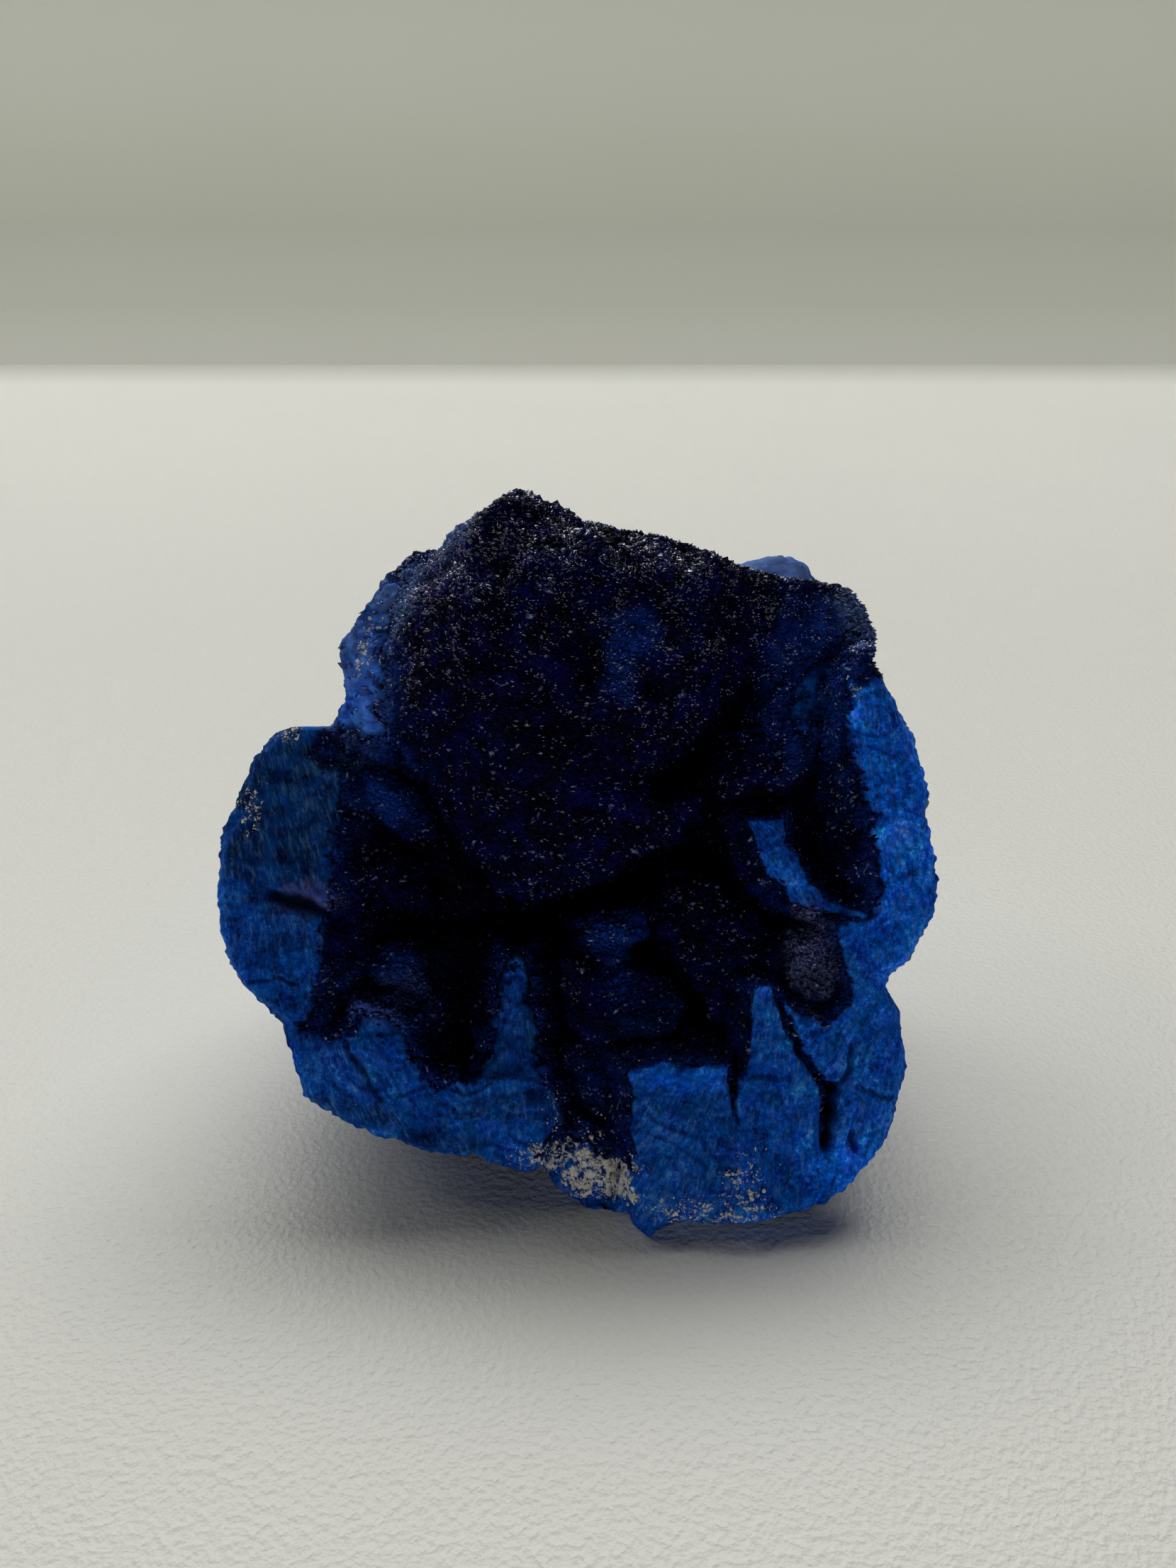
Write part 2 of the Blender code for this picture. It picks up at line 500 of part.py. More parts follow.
def crust_region(name, thickness, gap, cutters):
    """What the crust takes up: all of the hollow within its reach that no bare plate covers."""
    block = hollow_block(name, thickness, cutters)
    boolean(block, prism(name + "_reach", grown(CRUST_REACH, -gap), cutters), "INTERSECT")
    for plate_name, plate in PLATES.items():
        bare = prism(name + "_" + plate_name, grown(plate["outline"], PLATE_OVERLAP + gap), cutters)
        boolean(block, bare, "DIFFERENCE")
    return block


def keep_largest_piece(obj):
    """Remove the crumbs that a cut leaves loose."""
    bm = bmesh.new()
    bm.from_mesh(obj.data)
    left = set(bm.verts)
    pieces = []
    while left:
        reached = {left.pop()}
        piece = set(reached)
        while reached:
            around = {edge.other_vert(v) for v in reached for edge in v.link_edges}
            reached = around - piece
            piece |= reached
        left -= piece
        pieces.append(piece)
    largest = max(pieces, key=len)
    bmesh.ops.delete(bm, geom=[v for v in bm.verts if v not in largest], context="VERTS")
    bmesh.ops.remove_doubles(bm, verts=bm.verts, dist=SLIVER)
    bmesh.ops.dissolve_degenerate(bm, dist=SLIVER, edges=bm.edges)
    bmesh.ops.triangulate(bm, faces=bm.faces)
    bm.to_mesh(obj.data)
    bm.free()


def stone(name, colour, roughness):
    material = bpy.data.materials.new(name)
    material.use_nodes = True
    shader = material.node_tree.nodes["Principled BSDF"]
    shader.inputs["Base Color"].default_value = colour
    shader.inputs["Roughness"].default_value = roughness
    shader.inputs["Metallic"].default_value = 0.0
    return material


def lowest_middle(objects):
    """The middle of the bottom of the box round the objects."""
    points = np.array([vertex.co for obj in objects for vertex in obj.data.vertices])
    low = points.min(axis=0)
    high = points.max(axis=0)
    return Vector(((low[0] + high[0]) / 2.0, (low[1] + high[1]) / 2.0, low[2]))


def main():
    for obj in list(bpy.data.objects):
        bpy.data.objects.remove(obj)
    scene = bpy.context.scene
    parts = bpy.data.collections.new("azurite_specimen")
    cutters = bpy.data.collections.new("cutters")
    scene.collection.children.link(parts)
    scene.collection.children.link(cutters)

    wall = nodule_body(parts)
    crust = new_object("crust", wall.data.copy(), parts)
    pocket = crust_region("pocket", CRUST_THICKNESS + CRUST_GAP, 0.0, cutters)
    filling = crust_region("filling", CRUST_THICKNESS, CRUST_GAP, cutters)
    boolean(wall, pocket, "DIFFERENCE")
    boolean(crust, filling, "INTERSECT")
    wall = applied(wall, "azurite_wall", parts)
    crust = applied(crust, "crystal_crust", parts)
    for obj in (wall, crust):
        keep_largest_piece(obj)

    origin = lowest_middle((wall, crust))
    to_metres = Matrix.Scale(0.001, 4) @ Matrix.Translation(-origin)
    for obj in (wall, crust):
        obj.data.transform(to_metres)
        obj.data.materials.clear()
    for cutter in cutters.objects:
        cutter.data.transform(to_metres)
    wall.data.materials.append(stone("massive azurite", SKIN_COLOUR, 0.85))
    crust.data.materials.append(stone("drusy azurite", CRUST_COLOUR, 0.35))


main()
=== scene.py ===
"""Azurite specimen: a nodule broken open, with a drusy crystal crust in its hollow.

Shapes are worked out in millimetres in the frame of the broken face: x to the right, z up
along the face, y into the nodule. place_in_room leans that frame back and gives metres.
"""
import functools
import math

import bmesh
import bpy
import numpy as np
from mathutils import Color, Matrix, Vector, noise


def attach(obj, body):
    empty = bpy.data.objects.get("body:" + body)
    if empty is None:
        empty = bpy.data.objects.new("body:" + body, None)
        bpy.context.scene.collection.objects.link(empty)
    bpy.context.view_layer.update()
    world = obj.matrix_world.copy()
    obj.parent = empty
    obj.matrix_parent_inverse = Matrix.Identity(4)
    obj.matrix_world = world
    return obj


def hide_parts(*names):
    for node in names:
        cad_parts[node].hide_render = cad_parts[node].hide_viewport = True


bl_info = {
    "name": "Azurite specimen",
    "version": (1, 0, 0),
    "blender": (4, 5, 0),
    "location": "View3D > Sidebar > Azurite",
    "description": "Builds a broken azurite nodule with a drusy crystal crust on a pale desk",
    "category": "Add Mesh",
}

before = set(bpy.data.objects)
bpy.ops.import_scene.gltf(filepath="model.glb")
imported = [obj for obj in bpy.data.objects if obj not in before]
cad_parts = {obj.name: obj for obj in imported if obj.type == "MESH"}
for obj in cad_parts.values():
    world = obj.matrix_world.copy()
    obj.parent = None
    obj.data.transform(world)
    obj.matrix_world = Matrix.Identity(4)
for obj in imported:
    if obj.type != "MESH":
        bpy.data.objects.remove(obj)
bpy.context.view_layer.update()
BODY = "root"

# The nodule in mm, as in its solid model
NODULE_DEPTH = 20.5        # from the broken face to the back of the nodule
LEAN_DEGREES = 30.0        # how far the broken face leans back
FACE_CENTRE = (0.182, -6.953, 18.3)   # where the middle of the broken face stands
HOLLOW_FLOOR = 8.5         # depth of the hollow between its mounds
GROUND_LEVEL = -18.3       # height of the resting plane in the leaning frame
SETTLE_CLEARANCE = 0.7     # lumps lower than this over the resting plane are squeezed
SETTLE_DEPTH = 0.9         # the most that a squeezed lump reaches below that plane
SETTLE_FADE = 4.0          # how far behind the face the squeeze reaches full strength
RIM_ROUNDING = 0.9         # width of the rounded edge of the broken face
SKIRT_SLOPE = 2.6          # steepness of broken plates down into the hollow
FOLD_SLOPE = 3.2           # steepness of the folds between drusy mounds
MOUND_BLEND = 0.8          # how softly neighbouring mounds run together
PLATE_SWELL = 0.45         # unevenness of the broken plates
PLATE_REACH = 1.2          # how far past its outline a plate's cliff keeps its look
SKIN_FLARE = 0.01          # share by which the skin spreads for each mm behind the rim
SKIN_FADE = 2.2            # how soon behind the rim the lumps of the skin reach full height
SKIN_LUMP = 0.9            # height of the lumps on the weathered skin
CRUST_LUMP = 0.28          # height of the small lumps on the crust
CRUST_LUMP_DEPTH = 0.3     # share of the depth that also shifts the crust's lumps
BACK_RISE = 4.0            # the back of the nodule sits this much higher than its face
MIDDLE = (0.0, 9.0, 1.0)   # point that the lumps and lobes of the skin rise away from

# Fine relief in mm
TERRACE_WIDTH = 3.4        # spacing of the stepped breaks on a plate
TERRACE_HEIGHT = 0.22
TERRACE_TREAD = 0.88       # share of a step that is its slow rise
FIBRE_LENGTH = 1.9
FIBRE_WIDTH = 0.38
FIBRE_HEIGHT = 0.07
CRUMBLE = 0.25             # unevenness of the broken edge, seen against the light
RAGGEDNESS = 0.26          # how far the broken edges wander from their outlines

# Lumps of each surface: their height and size in mm, and which run of the noise they follow
WANDER_X = [(1.0, 0.9, 81.0), (1.2, 2.4, 82.0)]
WANDER_Z = [(1.0, 0.9, 83.0), (1.2, 2.4, 84.0)]
PLATE_GRAIN = [(0.09, 0.5, 18.0), (0.17, 0.9, 12.0), (0.11, 0.42, 13.0)]   # pits, chips, grains
CRUST_ROUGHNESS = [(0.18, 0.5, 17.0), (0.4, 1.1, 15.0), (0.8, 2.7, 16.0)]
SKIN_LUMPS = [(SKIN_LUMP, 6.0, 1.0), (0.4 * SKIN_LUMP, 2.6, 2.0)]
SKIN_PITS = [(0.26, 1.2, 31.0), (0.13, 0.6, 32.0)]
EDGE_CRUMBS = [(0.9, 2.1, 35.0), (0.6, 0.8, 33.0), (0.9, 0.38, 34.0)]
GLINT_CLUSTERS = [(1.0, 1.5, 23.0), (0.6, 0.6, 24.0)]

# Meshes
FACE_SHARE = 0.7           # share of the body's mesh that goes to the broken face
BODY_TRIANGLES = 190000
GRID_STEP = 0.1            # spacing of the grid that the face is worked out on
GRID_REACH = 24.5          # half side of that grid
LAYER_STEP = 2             # grid steps per cell of the crust's ground
LAYER_THICKNESS = 0.6
LAYER_COVER = 0.55         # the ground ends where the crust is thinner than this
CLAY_CANDIDATES = 260000   # places tried for crumbs of clay

# Rim of the broken face: x, z, and the depth y of the edge there, clockwise from the top
RIM = [
    (-3.8, 23.1, 7.5), (-2.3, 22.3, 7.5), (-0.6, 21.9, 7.5), (0.1, 21.0, 7.5), (4.6, 20.3, 7.5),
    (8.9, 19.1, 7.5), (12.7, 17.9, 6.5), (16.3, 17.3, 4.0), (17.4, 16.7, 4.0), (18.1, 14.8, 3.0),
    (18.4, 13.7, 3.0), (17.8, 12.3, 2.5), (18.7, 10.5, 2.0), (19.9, 8.0, 2.0), (21.2, 4.1, 2.0),
    (20.7, 3.0, 1.5), (21.4, -1.0, 1.5), (21.3, -2.5, 1.5), (19.6, -5.7, 1.5), (18.5, -6.6, 1.5),
    (18.3, -7.4, 1.5), (18.9, -8.6, 1.5), (19.4, -12.1, 1.5), (18.6, -14.8, 1.5),
    (18.1, -16.3, 1.5), (15.6, -19.1, 1.0), (13.8, -20.0, 1.0), (10.8, -20.6, 0.5),
    (5.5, -20.6, 0.0), (4.1, -21.4, 0.0), (3.2, -20.9, 0.5), (2.9, -20.3, 1.0), (1.1, -20.7, 1.5),
    (-0.9, -19.3, 1.5), (-2.1, -17.7, 1.0), (-3.3, -17.9, 0.5), (-6.0, -16.9, 0.5),
    (-9.6, -16.6, 1.0), (-13.2, -15.3, 1.0), (-16.3, -13.8, 1.0), (-16.5, -12.6, 1.0),
    (-17.5, -9.4, 1.5), (-20.1, -7.1, 2.0), (-21.0, -5.6, 2.0), (-21.7, -1.6, 2.0),
    (-21.2, 2.6, 2.0), (-19.8, 6.0, 2.0), (-18.6, 7.6, 2.5), (-17.5, 8.3, 2.5), (-15.0, 8.2, 2.5),
    (-14.4, 9.9, 3.0), (-14.8, 13.4, 3.5), (-13.4, 16.1, 4.0), (-12.3, 17.8, 4.5),
    (-10.5, 19.9, 5.5), (-9.2, 20.1, 6.0), (-7.2, 21.3, 7.0), (-5.5, 21.7, 7.5),
]

# Reach of the crust, just inside the rim along the top and past the plates' edges elsewhere
CRUST_REACH = [
    (-16.0, 12.0), (-9.2, 20.6), (-6.8, 22.8), (-3.8, 25.0), (-0.2, 23.8), (0.6, 22.9),
    (5.0, 21.7), (9.4, 20.5), (13.4, 19.3), (17.6, 18.7), (19.6, 15.0), (19.4, 0.0),
    (16.0, -16.0), (0.0, -18.0), (-16.0, -12.0), (-19.5, 0.0),
]

# Broken plates of bare azurite: outline, a point on the plate, its depth and its tilt dy/dx,
# dy/dz; where its fibres spread from (x, z), its tone, and how far the crust feathers out over
# its edge in mm
PLATES = {
    "left_lobe": dict(
        outline=[(-14.6, 9.6), (-13.6, 7.0), (-13.7, 4.6), (-14.1, 1.6), (-14.0, -0.1),
                 (-14.3, -2.7), (-14.9, -3.4), (-14.6, -6.1), (-15.2, -9.0), (-16.3, -9.6),
                 (-24.0, -9.8), (-24.0, 10.0)],
        at=(-18.0, 0.0), depth=0.4, tilt=(-0.06, 0.05),
        fibres=(-26.0, 34.0), tone=0.85, feather=0.8),
    "lower_left": dict(
        outline=[(-20.0, -9.0), (-16.2, -9.3), (-14.8, -9.6), (-13.8, -9.4), (-12.9, -8.3),
                 (-11.7, -8.5), (-10.1, -9.7), (-9.2, -11.2), (-7.8, -12.3), (-6.5, -12.6),
                 (-6.0, -23.0), (-20.0, -23.0)],
        at=(-12.0, -12.0), depth=0.5, tilt=(0.03, 0.12),
        fibres=(-22.0, 8.0), tone=0.92, feather=1.3),
    "spur": dict(
        outline=[(-4.9, -5.3), (-3.1, -5.4), (-2.6, -7.1), (-2.0, -9.8), (-2.2, -11.2),
                 (-1.2, -13.0), (-1.0, -15.0), (-7.2, -15.0), (-6.9, -12.6), (-5.8, -11.3),
                 (-5.8, -9.6), (-5.3, -8.0)],
        at=(-3.6, -13.0), depth=1.0, tilt=(0.0, 0.42),
        fibres=(-3.2, 4.0), tone=0.5, feather=1.1),
    "spur_foot": dict(
        outline=[(-7.2, -12.6), (-1.3, -12.8), (-0.9, -15.0), (-2.4, -17.0), (-2.4, -23.0),
                 (-8.0, -23.0)],
        at=(-4.0, -15.0), depth=0.7, tilt=(0.05, 0.06),
        fibres=(-3.2, 4.0), tone=0.82, feather=0.4),
    "clay_bench": dict(
        outline=[(-1.5, -13.6), (0.0, -15.1), (1.2, -15.8), (3.4, -16.1), (3.4, -23.0),
                 (-3.0, -23.0), (-3.0, -14.6)],
        at=(0.5, -17.0), depth=1.9, tilt=(0.0, 0.1),
        fibres=(-1.0, 6.0), tone=0.7, feather=2.6),
    "block": dict(
        outline=[(2.8, -12.0), (3.4, -11.5), (5.7, -11.3), (8.6, -11.5), (8.9, -13.2),
                 (9.4, -15.5), (9.6, -24.0), (3.0, -24.0), (3.2, -18.1), (2.9, -14.6)],
        at=(6.0, -16.0), depth=-0.9, tilt=(0.04, 0.05),
        fibres=(14.0, 2.0), tone=0.74, feather=0.35),
    "petal": dict(
        outline=[(9.9, -7.2), (10.5, -6.8), (11.2, -7.3), (11.8, -8.6), (12.4, -9.8),
                 (13.2, -11.3), (14.0, -12.8), (14.1, -14.6), (13.9, -16.3), (12.6, -18.1),
                 (11.8, -23.0), (8.9, -23.0), (9.1, -13.8), (9.2, -12.7), (9.6, -11.6),
                 (9.9, -10.0)],
        at=(11.5, -12.0), depth=-0.5, tilt=(0.05, 0.1),
        fibres=(14.0, 6.0), tone=1.05, feather=0.3),
    "lower_right": dict(
        outline=[(11.2, -7.3), (12.3, -8.1), (13.3, -8.7), (14.1, -9.2), (15.0, -8.7),
                 (15.4, -7.7), (15.4, -6.4), (15.1, -5.0), (14.8, -3.6), (16.0, -3.0),
                 (24.0, -3.1), (24.0, -23.0), (10.8, -23.0), (13.0, -17.8), (14.3, -16.2),
                 (14.5, -14.9), (14.4, -13.2), (13.9, -12.4), (13.2, -11.3), (12.4, -9.8),
                 (11.8, -8.6)],
        at=(16.5, -12.0), depth=0.1, tilt=(0.1, 0.03),
        fibres=(24.0, 6.0), tone=1.15, feather=0.5),
    "right_lobe": dict(
        outline=[(15.0, 7.7), (15.4, 6.0), (16.4, 3.1), (16.8, -1.6), (16.4, -3.4), (18.2, -7.3),
                 (24.0, -7.3), (24.0, 12.2), (17.0, 12.6), (15.6, 10.6)],
        at=(19.0, 3.0), depth=0.0, tilt=(0.1, 0.04),
        fibres=(14.0, 34.0), tone=1.6, feather=1.5),
    "upper_right": dict(
        outline=[(12.4, 5.9), (13.4, 6.0), (14.5, 7.5), (15.2, 7.8), (16.4, 10.4), (24.0, 11.5),
                 (24.0, 14.6), (18.0, 14.4), (15.2, 15.6), (13.8, 13.4), (12.3, 11.0), (11.6, 9.0),
                 (12.2, 7.4)],
        at=(14.0, 8.0), depth=1.3, tilt=(0.02, 0.33),
        fibres=(30.0, 30.0), tone=0.6, feather=2.4),
    "upper_left": dict(
        outline=[(-14.8, 7.4), (-12.9, 6.9), (-11.6, 7.2), (-11.2, 9.6), (-11.5, 14.2),
                 (-10.3, 16.6), (-8.3, 18.8), (-6.3, 21.4), (-6.6, 27.0), (-20.0, 27.0),
                 (-20.0, 9.0)],
        at=(-12.8, 10.0), depth=2.1, tilt=(-0.05, 0.3),
        fibres=(-30.0, 20.0), tone=1.0, feather=1.6),
    "septum": dict(
        outline=[(10.1, 2.5), (12.4, 2.9), (12.6, 1.9), (12.8, 0.9), (13.5, -0.4), (14.4, -1.6),
                 (15.3, -2.3), (16.4, -2.6), (17.2, -3.0), (16.2, -3.2), (15.0, -3.0),
                 (14.0, -2.9), (12.8, -2.4), (11.5, -1.0), (10.8, 0.5), (10.6, 1.8)],
        at=(13.0, 0.5), depth=1.3, tilt=(-0.18, 0.05),
        fibres=(4.0, 14.0), tone=1.15, feather=0.25),
}

# Drusy mounds: outline, depth of the outline, height of the crown over it and width of its rounding
MOUNDS = {
    "dome": dict(
        outline=[(-12.6, 8.0), (-11.6, 6.6), (-9.9, 4.7), (-8.8, 3.2), (-8.0, 1.5), (-7.1, 0.2),
                 (-5.4, -1.2), (-3.8, -2.3), (-2.2, -2.3), (1.1, -1.5), (4.3, 0.6), (6.8, 1.8),
                 (8.0, 2.4), (7.8, 4.0), (6.9, 4.6), (5.5, 5.2), (6.8, 6.6), (9.0, 9.4),
                 (10.2, 12.0), (11.0, 19.5), (0.4, 23.4), (-3.8, 25.2), (-7.6, 24.0), (-9.0, 19.6),
                 (-11.6, 17.0), (-12.6, 13.6)],
        depth=6.5, crown=9.2, rounding=9.5),
    "shoulder": dict(
        outline=[(6.0, 8.6), (9.2, 9.6), (10.4, 10.6), (12.0, 8.4), (13.2, 9.6), (15.6, 13.4),
                 (17.4, 18.4), (8.0, 21.4), (2.0, 21.6)],
        depth=6.8, crown=5.2, rounding=5.0),
    "lip": dict(
        outline=[(-14.4, 7.6), (-11.8, 6.8), (-10.9, 5.3), (-10.0, 4.3), (-9.2, 2.6), (-9.2, 1.8),
                 (-10.6, 1.8), (-11.7, 2.2), (-13.0, 3.0), (-14.6, 3.4)],
        depth=4.6, crown=2.6, rounding=2.2),
    "knob": dict(
        outline=[(-5.7, -0.4), (-4.6, 0.5), (-3.3, 0.0), (-3.4, -1.8), (-5.0, -2.2)],
        depth=4.6, crown=3.4, rounding=1.6),
    "right_ridge": dict(
        outline=[(8.9, 8.4), (10.2, 9.2), (12.2, 8.8), (13.2, 7.0), (12.6, 4.2), (10.6, 3.3),
                 (9.0, 3.2), (8.6, 4.7), (8.3, 6.3)],
        depth=6.2, crown=4.2, rounding=2.2),
    "septum_back": dict(
        outline=[(9.6, 2.3), (11.2, 2.8), (11.9, -0.5), (10.3, -0.3)],
        depth=5.0, crown=2.2, rounding=1.0),
    "cavity_ledge": dict(
        outline=[(13.1, 3.9), (16.9, 3.8), (17.0, 2.7), (13.2, 2.8)],
        depth=6.5, crown=1.6, rounding=0.8),
    "left_slope": dict(
        outline=[(-14.1, -4.6), (-10.0, -4.9), (-9.6, -7.2), (-9.3, -11.4), (-11.7, -9.2),
                 (-14.0, -9.4)],
        depth=6.0, crown=2.6, rounding=2.2),
    "mound_a": dict(
        outline=[(-1.3, -6.0), (0.0, -5.2), (2.0, -5.8), (3.6, -6.1), (5.2, -6.6), (6.0, -7.6),
                 (7.0, -9.3), (7.3, -12.2), (2.8, -12.4), (-0.2, -11.2), (-1.3, -9.5)],
        depth=5.6, crown=3.9, rounding=3.0),
    "mound_b": dict(
        outline=[(5.5, -1.3), (6.5, -0.5), (7.7, -0.7), (9.6, -2.1), (11.8, -3.0), (13.8, -3.4),
                 (13.8, -7.4), (11.9, -8.0), (9.8, -8.0), (9.3, -12.2), (7.8, -12.0), (7.5, -9.8),
                 (6.3, -7.2), (4.9, -5.1), (4.3, -3.6)],
        depth=6.0, crown=4.2, rounding=3.0),
    "middle": dict(
        outline=[(-0.4, -3.4), (1.6, -2.8), (4.2, -2.4), (4.5, -4.6), (3.2, -5.8), (2.9, -7.4),
                 (0.4, -7.4), (-0.6, -5.4)],
        depth=5.6, crown=3.0, rounding=2.4),
    "tongue": dict(
        outline=[(-1.5, -10.8), (0.5, -10.4), (3.0, -11.4), (3.2, -16.4), (1.0, -16.2),
                 (-0.5, -14.4), (-1.9, -12.4)],
        depth=4.4, crown=2.4, rounding=2.2),
    "violet_mound": dict(
        outline=[(12.9, -3.0), (14.8, -2.6), (17.0, -3.6), (17.2, -6.8), (16.6, -9.2),
                 (14.6, -10.0), (13.0, -8.8), (12.2, -7.4), (12.3, -4.6)],
        depth=3.0, crown=2.2, rounding=1.8),
    "corner": dict(
        outline=[(13.2, 12.0), (15.4, 11.5), (17.0, 10.3), (19.8, 10.5), (20.0, 18.0),
                 (17.0, 20.0), (13.0, 19.6), (12.2, 15.6)],
        depth=5.4, crown=3.2, rounding=2.2),
    "cavity_mound": dict(
        outline=[(-13.7, 0.5), (-11.5, 1.0), (-9.8, -0.5), (-9.6, -2.6), (-11.5, -3.1),
                 (-13.8, -2.9)],
        depth=6.4, crown=2.0, rounding=1.8),
}

# Cracks in the plates: path, half width and depth
CRACKS = {
    "left_lobe_step": ([(-18.1, -1.7), (-16.2, -2.5), (-14.5, -3.3)], 0.45, 1.1),
    "lobe_hairline": ([(-19.2, -6.8), (-17.8, -6.6), (-16.5, -7.0)], 0.10, 0.25),
    "lower_left_crease": ([(-14.6, -9.6), (-14.1, -10.3), (-12.8, -12.0), (-11.6, -13.7)],
                          0.18, 0.3),
    "block_side": ([(9.0, -11.6), (9.0, -12.8)], 0.35, 1.3),
    "block_seam": ([(9.0, -12.6), (9.2, -14.8)], 0.12, 0.3),
    "petal_side": ([(11.2, -7.5), (11.7, -8.5), (12.3, -9.5), (12.5, -10.3), (13.2, -11.3),
                    (13.9, -12.5), (14.4, -13.2)], 0.14, 0.55),
    "heart_side": ([(14.5, -13.2), (15.5, -12.2), (15.8, -11.5), (16.0, -10.5)], 0.16, 0.5),
    "slot_pit": ([(14.6, -13.3), (14.5, -14.8), (14.3, -16.0)], 0.42, 2.4),
    "small_pit": ([(16.1, -15.6), (16.0, -16.4)], 0.28, 0.8),
    "right_corner": ([(16.2, -12.9), (17.4, -13.3), (18.6, -13.6)], 0.12, 0.4),
    "dome_pit_left": ([(0.4, 12.3), (0.5, 10.9)], 0.7, 1.5),
    "dome_pit_right": ([(4.4, 11.2), (4.2, 10.3)], 0.6, 1.2),
}

# Deep folds between the drusy mounds: path, half width and depth
FOLDS = {
    "left_slot": ([(-14.1, -3.0), (-13.7, -6.0), (-13.6, -8.0)], 0.45, 2.5),
    "upright_slot": ([(-1.8, -4.5), (-1.8, -8.8), (-1.7, -12.0)], 0.5, 2.5),
    "cavity_fold": ([(-14.2, -3.5), (-10.0, -4.0), (-6.5, -4.2), (-4.2, -4.0)], 0.7, 2.5),
    "lip_fold": ([(-11.5, 6.5), (-9.6, 4.4), (-8.2, 2.0), (-7.0, -0.2), (-4.5, -2.6)], 0.7, 2.2),
    "dome_fold": ([(-2.0, -2.9), (1.5, -2.2), (4.5, -0.4), (7.5, 1.0), (9.0, 2.6)], 0.8, 2.5),
    "mound_fold": ([(3.4, -5.2), (5.2, -5.2), (6.4, -6.6), (7.1, -8.6), (7.3, -10.8)], 0.5, 2.0),
    "shoulder_fold": ([(10.6, 9.3), (8.6, 8.2), (7.0, 6.6), (5.0, 5.2)], 0.9, 2.5),
    "ridge_fold": ([(12.6, 5.4), (10.5, 4.2), (8.6, 2.9), (7.2, 2.2)], 0.6, 2.0),
    "septum_fold": ([(9.6, 2.0), (9.4, 0.6), (10.2, -1.0), (11.8, -2.6), (13.6, -3.3)], 0.8, 2.5),
    "cavity_floor": ([(13.8, 2.0), (14.6, 0.6), (15.6, -0.8), (16.2, -1.8)], 0.9, 2.5),
    "cavity_roof": ([(14.4, 7.0), (14.0, 5.6), (14.8, 4.4)], 0.9, 2.5),
}

# Lobes of the weathered skin: direction (x, y, z) from the middle, spread in degrees and height
LOBES = [
    ((0.63, 0.26, 0.74), 14.0, 5.0),
    ((0.57, 0.12, 0.81), 7.0, 2.4),
    ((0.20, 0.75, -0.62), 32.0, 2.6),
    ((-0.85, 0.45, 0.10), 30.0, 1.6),
    ((0.90, 0.55, -0.10), 28.0, 1.8),
    ((-0.45, 0.80, 0.60), 30.0, 2.0),
    ((0.35, 0.95, -0.05), 34.0, 1.8),
    ((-0.50, 0.75, -0.55), 28.0, 1.4),
]

